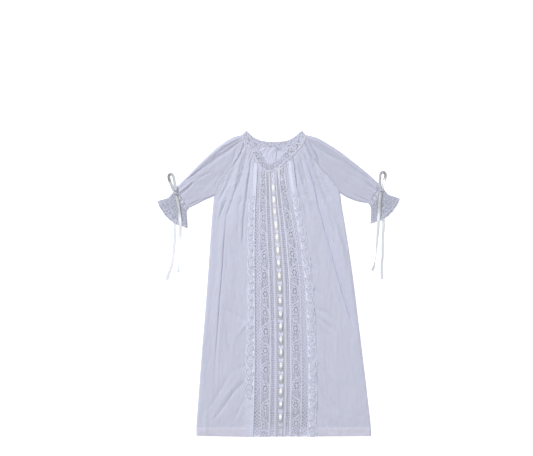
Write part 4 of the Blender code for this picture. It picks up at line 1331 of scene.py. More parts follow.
def point_array(place, *shares):
    """The points at some shares of a place, where a single share may stand for all of them."""
    return np.stack(np.broadcast_arrays(*place(*np.broadcast_arrays(*shares))), -1)


def folded_share(across, side, crowding):
    """Whether each point of a piece folded along the arm's top edge is on its upper layer, and its
    share from the arm's low edge to the top one. crowding draws the points towards both edges."""
    q = across * 2 if side > 0 else (1 - across) * 2
    upper = q <= 1
    share = np.where(upper, q, 2 - q)
    return upper, mix(share, (1 - np.cos(np.pi * share)) / 2, crowding)


def lower_layer(away):
    """The height of the lower layer, which turns up round the fold. away is the fold's distance."""
    near = np.clip(away / FOLD_ROUND, 0, 1)
    return mix(FOLD_Z, BACK_Z, np.sqrt(1 - (1 - near) ** 2))


class DAYGOWN_OT_stage(bpy.types.Operator):
    """The pale floor, the soft studio lights and the camera straight above the gown"""

    bl_idname = "daygown.stage"
    bl_label = "Stage"

    def execute(self, context):
        scene = context.scene
        scene.view_settings.view_transform = "Standard"
        bpy.ops.mesh.primitive_plane_add(size=FLOOR_SIZE, location=(0, 0, FLOOR_LEVEL))
        floor = context.object
        floor.name = "floor"
        paint = Finish("floor", 0.9, Base_Color=PALE, Emission_Color=WHITE, Emission_Strength=0.7)
        floor.data.materials.append(paint.material)
        for name, place, width, watts in LAMPS:
            data = bpy.data.lights.new(name, "AREA")
            data.shape, data.size, data.energy = "DISK", width, watts
            lamp = bpy.data.objects.new(name, data)
            lamp.location = place
            lamp.rotation_euler = (Vector() - Vector(place)).to_track_quat("-Z", "Y").to_euler()
            scene.collection.objects.link(lamp)
        scene.world = bpy.data.worlds.new("studio")
        scene.world.use_nodes = True
        sky = scene.world.node_tree.nodes["Background"]
        sky.inputs["Color"].default_value = (*WHITE, 1)
        sky.inputs["Strength"].default_value = SKY
        view = bpy.data.cameras.new("camera")
        view.sensor_width = FILM
        view.lens = FILM * CAMERA[2] / SHOWN
        camera = bpy.data.objects.new("camera", view)
        camera.location = CAMERA
        scene.collection.objects.link(camera)
        scene.camera = camera
        return {"FINISHED"}


def ribbon(name, route, width, steps, turn, finish):
    """A flat satin ribbon along a route, with a little crown across it. Where turn is None, the
    route's rows hold how far it stands off flat."""
    route = array(route)
    last = len(route) - 1

    def place(across, down):
        at = down * last
        here = through(route, at)
        ahead, behind = np.minimum(at + 0.05, last), np.maximum(at - 0.05, 0)
        step = (through(route, ahead) - through(route, behind))[:, :3]
        run = step / np.linalg.norm(step, axis=1)[:, None]
        side = np.cross(run, (0, 0, 1))
        side /= np.linalg.norm(side, axis=1)[:, None]
        up = np.cross(side, run)
        angle = np.radians(here[:, 3] if turn is None else np.full(len(at), turn))[:, None]
        broad = side * np.cos(angle) - up * np.sin(angle)
        face = side * np.sin(angle) + up * np.cos(angle)
        off = (across - 0.5)[:, None]
        return tuple((here[:, :3] + broad * off * width - face * 0.35 * (2 * off) ** 2).T)

    line = through(route, np.linspace(0, last, 200))[:, :3]
    length = float(np.linalg.norm(np.diff(line, axis=0), axis=1).sum())
    made = sheet(name, (6, steps), place, finish, (width, length), wall=0.35)
    path = through(route, np.linspace(0, last, 60))[:, :3] * MM
    return made, path, length * MM


def knot(name, centre):
    """The tied knot: two turns of ribbon round each other."""
    turn = np.linspace(0, TURN, 28, endpoint=False)
    x, z = 2.48 * np.cos(turn), 1.584 * np.sin(turn)
    turns = [(np.stack([x, tilt * x, z], -1) + centre, 1.25, True) for tilt in (0.35, -0.5)]
    return cords(name, turns, knot_satin, sides=10)


class DAYGOWN_OT_ties(bpy.types.Operator):
    """The cuffs' ribbon ties: a knot, one loop and two free tails at each wrist"""

    bl_idname = "daygown.ties"
    bl_label = "Ribbon ties"

    def execute(self, context):
        width = context.scene.daygown_sizes.ribbon_width / MM
        for side, centre, loop, turn, front, back in (
            ("left", KNOT_LEFT, LOOP_LEFT, LOOP_TURN, TAIL_FRONT_LEFT, TAIL_BACK_LEFT),
            ("right", KNOT_RIGHT, LOOP_RIGHT, -LOOP_TURN, TAIL_FRONT_RIGHT, TAIL_BACK_RIGHT),
        ):
            tied = knot(f"satin_knot_{side}", centre)
            declare(tied, [f"bow_knot_{side}"])
            pieces = (
                (f"bow_loop_{side}", loop, 60, turn, "object", loop_satin),
                (f"tail_front_{side}", front, 90, None, "bare", tail_satin),
                (f"tail_back_{side}", back, 90, None, "bare", satin),
            )
            for node, route, steps, tilt, end, finish in pieces:
                made, path, length = ribbon(f"satin_{node}", route, width, steps, tilt, finish)
                declare(made, [node])
                tuple(path[0])
                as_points(path)
        return {"FINISHED"}


class DAYGOWN_OT_back(bpy.types.Operator):
    """The back's two halves, with the placket open under the neckband"""

    bl_idname = "daygown.back"
    bl_label = "Back"

    def execute(self, context):
        left, right = self.half(0, -1), self.half(6, 1)
        for name, half, area in (("left", left, 0.104), ("right", right, 0.1)):
            made = sheet(f"batiste_back_{name}", (36, 120), half, back_batiste, (180, 640))
            declare(made, [f"back_{name}"], area)

        def lap(across, down):
            x, y, _ = left(np.ones(np.shape(across)), mix(0.004, 0.12, down))
            return x + mix(-3, PLACKET_WIDTH + 4, across), y, np.full(np.shape(x), 0.22)

        under = sheet("batiste_placket_lap", (8, 16), lap, back_batiste, (16, 52), wall=0.15)
        declare(under, [], None)
        seam = point_array(left, 1, np.linspace(0.1, 0.995, 60)) + (0.15, 0, 0.2)
        declare(cords("back_seam", [(seam, 0.7)], back_batiste, flat=0.4), [])
        return {"FINISHED"}

    def half(self, edge, side):
        """One half. edge is the place of its side in BODY's rows."""
        station = 1 if side < 0 else len(NECK_BACK) - 2
        corner = array(NECK_BACK)[station, :2]
        centre = through(NECK_BACK, BACK_CENTRE)
        middle = mix(centre[:2], centre[2:], BACK_SEWN)
        hem_centre = (BODY[HEM][0] + BODY[HEM][6]) / 2

        def place(across, down):
            row = down * HEM
            rows = through(BODY, row)
            centre_x = mix(middle[0], hem_centre, down)
            centre_y = mix(middle[1], BODY[HEM][1], down**1.25)
            opened = np.minimum((middle[1] - centre_y) / PLACKET_LENGTH, 1)
            centre_x = centre_x + side * (0.3 + PLACKET_WIDTH * np.sin(np.pi * opened**0.6)) / 2
            x = mix(rows[:, edge] - side * 0.15, centre_x, across)
            y = mix(rows[:, edge + 1], centre_y, across)
            fade = np.clip(1 - row / UNDERARM, 0, 1) ** 2
            rim = through(NECK_BACK, mix(station, BACK_CENTRE, across))
            top = mix(rim[:, :2], rim[:, 2:], BACK_SEWN)
            x += (top[:, 0] - mix(corner[0], middle[0], across)) * fade
            y += (top[:, 1] - mix(corner[1], middle[1], across)) * fade
            pleats = np.sin(across * 26 + 3 * np.sin(across * 9) + row * 4) * 0.5 + 0.5
            z = BACK_Z + 0.9 * pleats * np.exp(-row / 1.8) * np.clip((1 - across) * 12, 0, 1)
            z = z + 1.5 * np.exp(-((row / 0.55) ** 2)) * ease(across * 8)
            return x, y, z

        return place


class DAYGOWN_OT_hems(bpy.types.Operator):
    """The turned-up hems inside the back and the front, and their stitches"""

    bl_idname = "daygown.hems"
    bl_label = "Hems"

    def execute(self, context):
        for name, height in (("back", 1.5), ("front", 3.2)):
            def place(across, down, height=height):
                edge = through(BODY, HEM - 1 + down)
                x = mix(edge[:, 0] + 8, edge[:, 6] - 8, across)
                return x, BODY[HEM][1] + 1 + HEM_DEPTH * (1 - down), np.full(np.shape(x), height)

            made = sheet(f"batiste_{name}_hem", (90, 5), place, batiste, (370, HEM_DEPTH))
            declare(made, [f"{name}_hem"], None)
        strokes = []
        down = down_of(BODY[HEM][3] + HEM_DEPTH - 0.6)
        for panel in (0, 2):
            for at in np.linspace(panel + 0.03, panel + 0.97, STITCHES):
                stitch = point_array(front_point, np.linspace(at, at + STITCH, 4), down)
                stitch[:, 2] += (0.05, 0.35, 0.35, 0.05)
                strokes.append((stitch, 0.22))
        declare(cords("hem_stitches", strokes, lace_thread, sides=5), [])
        return {"FINISHED"}


class DAYGOWN_OT_front(bpy.types.Operator):
    """The front's two plain panels, gathered into the neckband"""

    bl_idname = "daygown.front"
    bl_label = "Front panels"

    def execute(self, context):
        panels = (("left", 0, 0.13, 0.068, 0.33), ("right", 2, 0.142, 0.074, 0.7))
        for name, panel, width, area, fine in panels:
            def place(across, down, panel=panel):
                return front_point(panel + mix(0.0012, 0.9988, across), down**1.12 * HEM)

            grain = (width / MM, 640)
            made = sheet(f"batiste_front_{name}", (106, 290), place, batiste, grain, fine=fine)
            declare(made, [f"front_{name}"], area)
        return {"FINISHED"}


class DAYGOWN_OT_sleeves(bpy.types.Operator):
    """The raglan sleeves, each folded along its top edge"""

    bl_idname = "daygown.sleeves"
    bl_label = "Sleeves"

    def execute(self, context):
        for name, table, side in (("left", SLEEVE_LEFT, -1), ("right", SLEEVE_RIGHT, 1)):
            place = self.folded(table, side)
            made = sheet(f"batiste_sleeve_{name}", (110, 96), place, sleeve_batiste_painted_shade, (150, 190))
            declare(made, [f"sleeve_{name}"], 0.0215)
        return {"FINISHED"}

    def folded(self, table, side):
        """A sleeve whose rows hold its top edge and its low one."""
        last = len(table) - 1

        def place(across, down):
            upper, share = folded_share(across, side, 0.6)
            row = mix(0.02, last, down)
            rows = through(table, row)
            top, low = rows[:, :2], rows[:, 2:]
            width = np.hypot(*(top - low).T)
            inset = np.where(row < UNDERARM, 0.15, 0.3) / width
            t = mix(inset, 1 - 0.3 / width, share)
            x, y = mix(low[:, 0], top[:, 0], t), mix(low[:, 1], top[:, 1], t)
            puckers = np.sin(share * 34 + 1.5 * np.sin(share * 11)) * 0.5 + 0.5
            ends = np.exp(-(last - row) * 2.2) * 1.1 + np.exp(-row * 2.6) * 0.8
            over = level(x, y) + creases(x, y) + seams(x, y)
            over = over + puckers * ends * np.sin(np.pi * share)
            bottom = lower_layer((1 - share) * width)
            return x, y, np.where(upper, np.maximum(over, LOWEST), bottom)

        return place


def on_band(table, at, across):
    """A point between the sewn edge and the free one. at counts the table's rows."""
    rows = through(table, at)
    return mix(rows[..., 0], rows[..., 2], across), mix(rows[..., 1], rows[..., 3], across)


def neck_front(at, across):
    x, y = on_band(NECK_FRONT, at, across)
    waves = 0.35 * np.sin(at * 7.3) * np.sin(np.pi * across)
    return x, y, level(x, y) + BAND_LIFT + waves - 0.5 * across


def neck_back(at, across):
    x, y = on_band(NECK_BACK, at, across)
    return x, y, np.full(np.shape(x), BACK_Z + BAND_LIFT)


def rosette(centre, size, thread, turn=0, petals=8, heart=1.3):
    """Strokes of a small lace flower, in millimetres across and along its band: round petals on
    spokes about a ring, which heart makes thicker."""
    strokes = []
    size = np.array(size)

    def round_it(angle, share):
        way = np.stack([np.cos(angle), np.sin(angle)], -1)
        return centre + way * size * np.reshape(share, (-1, 1))

    for k in range(petals):
        spoke = np.full(4, turn + TURN * (k + 0.5) / petals)
        petal = round_it(spoke, (0.4, 0.7, 0.92, 1.04))
        strokes.append((petal, np.array([0.6, 0.8, 2, 1.3]) * thread))
    middle = round_it(np.linspace(0, TURN, 10, endpoint=False), np.full(10, 0.33))
    strokes.append((middle, thread * heart, True))
    return strokes


def in_eyelets(a, b, centre, size, hole, turn=0, petals=8):
    """Where the open eyelets between a rosette's petals and its ring are. hole is half an
    eyelet's size, as a share of the rosette's."""
    hollow = np.zeros(a.shape, bool)
    for k in range(petals):
        angle = turn + TURN * (k + 1) / petals
        x = centre[0] + 0.63 * size[0] * math.cos(angle)
        y = centre[1] + 0.63 * size[1] * math.sin(angle)
        hollow |= ((a - x) / (hole * size[0])) ** 2 + ((b - y) / (hole * size[1])) ** 2 < 1
    return hollow


def on_surface(strokes, place, lift):
    """Strokes given across and along a band, laid on its surface."""
    points = np.concatenate([stroke[0] for stroke in strokes])
    laid = np.stack(place(points[:, 0], points[:, 1]), -1) + (0, 0, lift)
    ends = np.cumsum([len(stroke[0]) for stroke in strokes])[:-1]
    return [(spots, *stroke[1:]) for spots, stroke in zip(np.split(laid, ends), strokes)]


class DAYGOWN_OT_neckband(bpy.types.Operator):
    """The lace neckband, folded at the shoulders, with its sewn cord and picot edge"""

    bl_idname = "daygown.neckband"
    bl_label = "Neckband"

    def execute(self, context):
        front, back = len(NECK_FRONT) - 1, len(NECK_BACK) - 1

        def place(across, down):
            s = across * 2
            fx, fy, fz = neck_front(np.clip(s, 0, 1) * front, down)
            bx, by, bz = neck_back((2 - np.clip(s, 1, 2)) * back, down)
            fore = s <= 1
            turn = np.minimum(np.abs(s - np.round(s)), 0.5)
            bz = mix(FOLD_Z, bz, np.clip(turn / 0.02, 0, 1))
            fz = np.where(turn < 0.004, FOLD_Z, fz)
            return np.where(fore, fx, bx), np.where(fore, fy, by), np.where(fore, fz, bz)

        def flowers(length):
            repeats = round(length / BAND_REPEAT)
            for k in range(repeats):
                middle = BAND_MIDDLE + (0.8 if k % 2 else -0.8)
                yield k, np.array([middle, length * (k + 0.5) / repeats])

        def open_at(a, b):
            hollow = np.zeros(a.shape, bool)
            along = a / 180 * FRONT_BAND
            for k, middle in flowers(FRONT_BAND):
                hollow |= in_eyelets(b, along, middle, BAND_FLOWER, 0.2, BAND_TURN * k)
                for x in (4.6, 12.4):
                    between = (along - middle[1] - BAND_REPEAT / 2) / 1.3
                    hollow |= ((b - x) / 1.2) ** 2 + between**2 < 1
            clear_of_ends = np.abs(along - FRONT_BAND / 2) < FRONT_BAND / 2 - BAND_ENDS
            return hollow & (b > 2.4) & (b < 15) & clear_of_ends

        grain, kind = (360, BAND_WIDTH), {"tube": True, "open_at": open_at}
        band = sheet("lace_neckband", (360, 14), place, neck_lace, grain, 0.4, **kind)
        strokes = []
        sides = ((neck_front, front, FRONT_BAND, 0.55), (neck_back, back, BACK_BAND, 0.35))
        for surface, last, length, thread in sides:
            def laid(a, b, surface=surface, last=last, length=length):
                return surface(b / length * last, a / BAND_WIDTH)

            pattern = []
            for k, middle in flowers(length):
                sign = 1 if k % 2 else -1
                pattern += rosette(middle, BAND_FLOWER, thread, BAND_TURN * k)
                t = np.linspace(-1, 1, 15)
                sway = BAND_MIDDLE - sign * 3.4 * np.sin(t * 1.9)
                stem = np.stack([sway, middle[1] + BAND_REPEAT / 2 + t * 5], -1)
                pattern.append((stem[(stem[:, 1] > 1) & (stem[:, 1] < length - 1)], 0.75))
            pattern = [stroke for stroke in pattern if len(stroke[0]) > 2]
            strokes += on_surface(pattern, laid, 0.3)
            line = np.linspace(1, length - 1, 150)
            picot = 16 + 0.8 * np.abs(np.sin(line * 0.75))
            edges = [(2.9, 0.3, 0.4), (14.6, 0.3, 0.4), (picot, 0.1, 0.7)]
            if surface == neck_front:
                edges.insert(0, (0.9, 0.45, 1.15))
            for across, lift, radius in edges:
                strokes.append((point_array(laid, across, line) + (0, 0, lift), radius))
        threads = cords("neckband_threads", strokes, lace_thread, sides=5, flat=0.6)
        declare(band, ["neckband"], None, [threads])
        return {"FINISHED"}


def ring(centre, across, down, radius, steps):
    turn = np.linspace(0, TURN, steps, endpoint=False)
    return (centre + np.stack([np.cos(turn) * across, np.sin(turn) * down], -1), radius, True)


def clipped(strokes, length):
    """The strokes, each cut off where the worked lace ends."""
    kept = []
    for points, radius, *closed in strokes:
        points = np.asarray(points, float)
        worked = (points[:, 1] > 0.3) & (points[:, 1] < length - 0.3)
        radii = np.broadcast_to(np.asarray(radius, float), (len(points),))
        if worked.sum() > 1:
            kept.append((points[worked], radii[worked], *(closed if worked.all() else ())))
    return kept


class Net:
    """Plain diamond net."""

    grid, left_open, open_at = (5, 200), 0, None

    def __init__(self, width, sizes, mirror):
        self.width, self.mesh = width, sizes.net_mesh / MM

    def strokes(self, length):
        threads = []
        t = np.linspace(0, self.width, 5)
        for k in range(int((length + self.width) / self.mesh) + 1):
            for start, way in ((k * self.mesh - self.width, 1), (k * self.mesh, -1)):
                threads.append((np.stack([t, start + way * t], -1), 0.75))
        return threads


class Scroll:
    """Rosettes with a stem that winds round them, first on one side and then on the other."""

    grid, left_open = (16, 540), 0.14
    MIDDLE = (0.7, 0)  # how far from the stem's side each rosette stands

    def __init__(self, width, sizes, mirror):
        self.width, self.repeat, self.mirror = width, sizes.scroll_repeat / MM, mirror

    def centres(self, length):
        """Each rosette's middle, and the side that its stem is on."""
        for k in range(int(length / self.repeat) + 2):
            side = self.mirror if k % 2 == 0 else -self.mirror
            drop = k * self.repeat - 2 + 3.2 * self.mirror
            yield np.array([self.width / 2, drop]), np.array([side, 1])

    def open_at(self, a, b):
        hollow = np.zeros(a.shape, bool)
        for centre, side in self.centres(LACE_LENGTH):
            for x, y, across, down in EYELETS:
                spot = centre + side * (x, y)
                hollow |= ((a - spot[0]) / across) ** 2 + ((b - spot[1]) / down) ** 2 < 1
            hollow |= in_eyelets(a, b, centre - side * self.MIDDLE, FLOWER, 0.3, petals=6)
        return hollow

    def strokes(self, length):
        threads = []
        stem = through(VINE, np.linspace(0, len(VINE) - 1, 40))
        for centre, side in self.centres(length):
            threads.append((centre + side * stem[:, :2], stem[:, 2] * 1.15))
            middle = centre - side * self.MIDDLE
            threads += rosette(middle, FLOWER, 0.72, petals=6, heart=1.9)
            threads.append(ring(middle, FLOWER[0] * 1.06, FLOWER[1] * 1.06, 0.9, 24))
            for x, y, half, long in EYELETS:
                threads.append(ring(centre + side * (x, y), half + 0.5, long + 0.5, 0.45, 8))
            for x, y, run, drop in LEAVES:
                leaf = [(x, y), (x + run * 0.5 + 0.5, y + drop * 0.5), (x + run, y + drop)]
                threads.append((centre + side * np.array(leaf), [0.7, 1.3, 0.6]))
            for share in (0.5 - 0.44, 0.5 + 0.44):
                for j in range(10):
                    spot = np.array([self.width * share, centre[1] + j * self.repeat / 10])
                    threads.append((np.array([spot, spot + (0.2, 1.6)]), 0.8))
        return threads


class Narrow:
    """A ladder of short bars, with three fine cords down it."""

    grid, left_open = (8, 274), 0.25

    def __init__(self, width, sizes, mirror):
        self.width, self.step = width, LACE_LENGTH / self.grid[1]

    def open_at(self, a, b):
        column = np.floor(a / self.width * self.grid[0])
        return (column > 1) & (column < 6) & (np.floor(b / self.step) % 2 == 1)

    def strokes(self, length):
        line = np.linspace(0, length, int(length / 2))
        threads = []
        for share, radius in ((0.14, 0.45), (0.5, 0.5), (0.86, 0.45)):
            wave = 0.25 * np.sin(line * TURN / (2 * self.step) + share * 9)
            threads.append((np.stack([self.width * share + wave, line], -1), radius))
        shares = np.array([0.1, 0.36, 0.64, 0.9]) * self.width
        for k in range(int(length / self.step / 2) + 1):
            b = (2 * k + 0.5) * self.step
            threads.append((np.stack([shares, [b, b + 0.2, b - 0.2, b]], -1), 0.75))
        return threads


class Beading:
    """Slots for the ribbon, each with a rounded end and a short barred tab below it."""

    grid, left_open = (16, 460), 0.25
    HALF, WINDOW, ROUND = 4.1, 21.2, 4.2  # half a slot's width, its length, and its round end's
    BAR = 4.4  # from one bar to the next down both sides, and the bars' own length

    def __init__(self, width, sizes, mirror):
        self.width, self.repeat = width, sizes.beading_repeat / MM

    def open_at(self, a, b):
        off = np.abs(a - self.width / 2)
        phase = np.mod(b - FIRST_SLOT, self.repeat)
        end = np.clip(1 - (self.WINDOW - phase) / self.ROUND, 0, 1)
        return (off < self.HALF * np.sqrt(1 - end**2)) & (phase < self.WINDOW) & (b > FIRST_SLOT)

    def strokes(self, length):
        middle, half = self.width / 2, self.HALF
        line = np.linspace(0, length, int(length / 2))
        threads = []
        for edge in (-1, 1):
            inner, outer = middle + edge * (half + 0.4), middle + edge * (half + self.BAR)
            for rail, radius in ((inner, 0.45), (outer, 0.5)):
                threads.append((np.stack([np.full(len(line), rail), line], -1), radius))
            for k in range(int(length / self.BAR)):
                drop = k * self.BAR + 1
                threads.append((np.array([[inner, drop], [outer, drop]]), 0.4))
        turn = np.linspace(0, np.pi, 13)
        for k in range(int((length - FIRST_SLOT) / self.repeat) + 1):
            top = FIRST_SLOT + k * self.repeat
            rim = top + self.WINDOW - self.ROUND + (self.ROUND + 0.3) * np.sin(turn)
            threads.append((np.stack([middle - (half + 0.2) * np.cos(turn), rim], -1), 0.75))
            for edge in (-1, 1):
                threads.append(ring((middle + edge * 1.9, top + 24.2), 0.9, 1, 0.8, 8))
            bar = np.array([[middle - half, top + 26.6], [middle + half, top + 26.6]])
            threads.append((bar, 0.7))
        return threads


WORK = {
    "net": (Net, lace_net),
    "scroll": (Scroll, scroll_lace),
    "narrow": (Narrow, lace_ground),
    "beading": (Beading, beading_lace),
}


class DAYGOWN_OT_lace(bpy.types.Operator):
    """The lace panel's seven bands with their threads, and the cords between them"""

    bl_idname = "daygown.lace"
    bl_label = "Lace panel"

    def execute(self, context):
        sizes = context.scene.daygown_sizes
        for band, (node, width) in enumerate(LACE_BANDS):
            def laid(a, b, band=band, width=width):
                row = down_of(LACE_TOP - b)
                return front_point(band_at(band, a / width, row), row)

            def ground(across, down, width=width, laid=laid):
                x, y, z = laid(mix(0.004, 0.996, across) * width, down * LACE_LENGTH)
                return x, y, z - 0.1

            _, kind, *side = node.split("_")
            make, finish = WORK[kind]
            work = make(width, sizes, -1 if side == ["right"] else 1)
            grain, hole = (width, LACE_LENGTH), work.open_at
            made = sheet(f"{node}_ground", work.grid, ground, finish, grain, 0.3, open_at=hole)
            worked = LACE_LENGTH - 1.5
            threads = on_surface(clipped(work.strokes(worked), worked), laid, 0.35)
            extra = cords(f"{node}_threads", threads, lace_thread, sides=5, flat=0.6)
            flat = (width * MM, LACE_LENGTH * MM)
            area = flat[0] * flat[1] * (1 - work.left_open)
            declare(made, [node], area, [extra])
        strokes = []
        row = np.linspace(0.06, HEM, 320)
        for band, radius in enumerate((0.95, 1.2, 1.15, 1.15, 1.25, 0.95), 1):
            seam = point_array(front_point, band_at(band, np.zeros(320), row), row, 0.55)
            strokes.append((seam, radius))
        declare(cords("lace_joining_cords", strokes, lace_thread, flat=0.7), [])
        return {"FINISHED"}


class DAYGOWN_OT_panel_ribbon(bpy.types.Operator):
    """The satin ribbon that runs in and out of the middle beading"""

    bl_idname = "daygown.panel_ribbon"
    bl_label = "Panel ribbon"

    ARCH = [
        # from the slot's top, height over the beading
        (0, -0.6), (0.8, 1.2), (2.4, 2.2), (5.5, 2.75), (9, 2.8), (12, 2.45), (15, 1.8),
        (18, 0.8), (21, -0.7), (23, -1.5), (25, -1.6), (28.1, -0.6),
    ]
    NARROWED = ((0, 3, 0.3), (14, 3.5, 0.1), (28.1, 6, 0.3))  # the same place, reach, how much
    END = LACE_LENGTH - HEM_DEPTH - 3

    def execute(self, context):
        sizes = context.scene.daygown_sizes
        width, repeat = sizes.ribbon_width / MM, sizes.beading_repeat / MM
        arch = array(self.ARCH)

        def place(across, down):
            b = mix(FIRST_SLOT, self.END, down)
            row = down_of(LACE_TOP - b)
            x, y, z = front_point(band_at(3, np.full(np.shape(row), 0.5), row), row)
            phase = np.mod(b - FIRST_SLOT, repeat) * arch[-1, 0] / repeat
            lift = through(arch, np.interp(phase, arch[:, 0], np.arange(len(arch))))[..., 1]
            lift = lift * mix(0.65, 1.1, ease((b - 180) / 150))
            crown = 0.5 * (2 * across - 1) ** 2 * np.clip(lift / 2, 0, 1)
            share = 1.05
            for spot, reach, much in self.NARROWED:
                share = share - much * hump((phase - spot) / reach)
            return x + (across - 0.5) * width * share, y, z + lift - crown

        grain = (width, self.END - FIRST_SLOT)
        made = sheet("satin_panel_ribbon", (8, 900), place, beading_satin, grain, wall=0.3)
        declare(made, ["lace_ribbon"])
        return {"FINISHED"}


class DAYGOWN_OT_frills(bpy.types.Operator):
    """The gathered lace down each side of the lace panel"""

    bl_idname = "daygown.frills"
    bl_label = "Side frills"

    def execute(self, context):
        line = np.linspace(0, 1, 760)
        sides = (("left", 1, -1, 1, FLUTES_LEFT), ("right", 2, 1, 2, FLUTES_RIGHT))
        for name, edge, side, column, flutes in sides:
            place, lobes = self.fluted(edge, side, column, flutes)
            grain = (18, 850)
            node = f"frill_{name}"
            made = sheet(f"lace_{node}", (16, 760), place, lace_cloth, grain, 0.35, lobes=lobes)
            rim = point_array(place, 1, line)
            rim[:, 0] += side * 0.45 * np.abs(np.sin(line * 700))
            heading = point_array(place, 0.09, line) + (0, 0, 0.3)
            strokes = [(rim, 1), (heading, 1.25 + 0.1 * np.sin(line * 900))]
            threads = cords(f"frill_threads_{name}", strokes, lace_thread, sides=5, flat=0.5)
            declare(made, [node], None, [threads])
        return {"FINISHED"}

    def fluted(self, edge, side, column, flutes):
        """A frill's place and its lobes. column is that of its widths in FRILL_WIDTHS."""
        flutes = array(flutes)[::-1]
        widths = array(FRILL_WIDTHS)[::-1]

        def folds(across, height):
            """The crease below each point, and its place between that one and the next."""
            run_out = flutes[:, 0] - flutes[:, 1] * across[:, None] ** 1.15
            lower = np.clip((run_out < height[:, None]).sum(1) - 1, 0, len(flutes) - 2)
            pick = np.arange(len(height))
            below, above = run_out[pick, lower], run_out[pick, lower + 1]
            return lower, np.clip((height - below) / (above - below), 0, 1), above - below

        def height_at(down):
            return mix(LACE_TOP - 1.5, BODY[HEM][3] + 0.3, down)

        def lobes(across, down):
            lower, t, _ = folds(across, height_at(down))
            middle = 0.6 - 0.08 * t + 0.06 * np.sin(lower * 2.3)
            half = 0.12 + (0.42 + 0.08 * np.sin(lower * 3.1)) * t
            inside = 1 - ((t - 0.5) / 0.46) ** 2 - ((across - middle) / half) ** 2
            deep = np.minimum(flutes[lower, 2], flutes[lower + 1, 2])
            return np.where(deep > 0.3, 0.5 + 0.5 * np.clip(inside, -1, 1), -1)

        def place(across, down):
            height = height_at(down)
            row = down_of(height)
            x, y, z = front_point(np.full(np.shape(row), edge - side * 0.012), row)
            lower, t, gap = folds(across, height)
            # Each point takes part in the fold at its nearer crease. beside counts up from it.
            crease = lower + (t > 0.5)
            beside = t - (t > 0.5)
            depth, over = flutes[crease, 2], flutes[crease, 3]
            fold = np.sin(TURN * beside) * across**0.8 * depth
            puff = np.sin(np.pi * t) ** 0.7 * mix(flutes[lower, 2], flutes[lower + 1, 2], t)
            pleats = np.sin((height + 5 * across) * 2 + 1.6 * np.sin(height * 0.41))
            wrinkles = 0.35 * pleats * (1.1 - across) + 0.15 * np.sin(height * 0.9 - across * 6)
            reach = np.interp(height, widths[:, 0], widths[:, column])
            ragged = 0.06 * np.sin(crease * 1.7) + 0.04 * np.sin(height * 0.8)
            reach = mix(0.4, reach * (1.06 + ragged - 0.3 * depth * hump(beside * 2.4)), across)
            lift = 1.1 * depth * across**0.8 + wrinkles + 1.2 * over * fold
            lift = lift + puff * (1.3 * np.sin(np.pi * across * 0.8) - 0.5 * across**4)
            tuck = np.minimum(gap, 22) / TURN * 2.1 * fold
            lift = 0.75 + lift * (1 - 0.78 * across**3)
            return x + side * reach, np.maximum(y - tuck, BODY[HEM][3]), z + lift

        return place, lobes


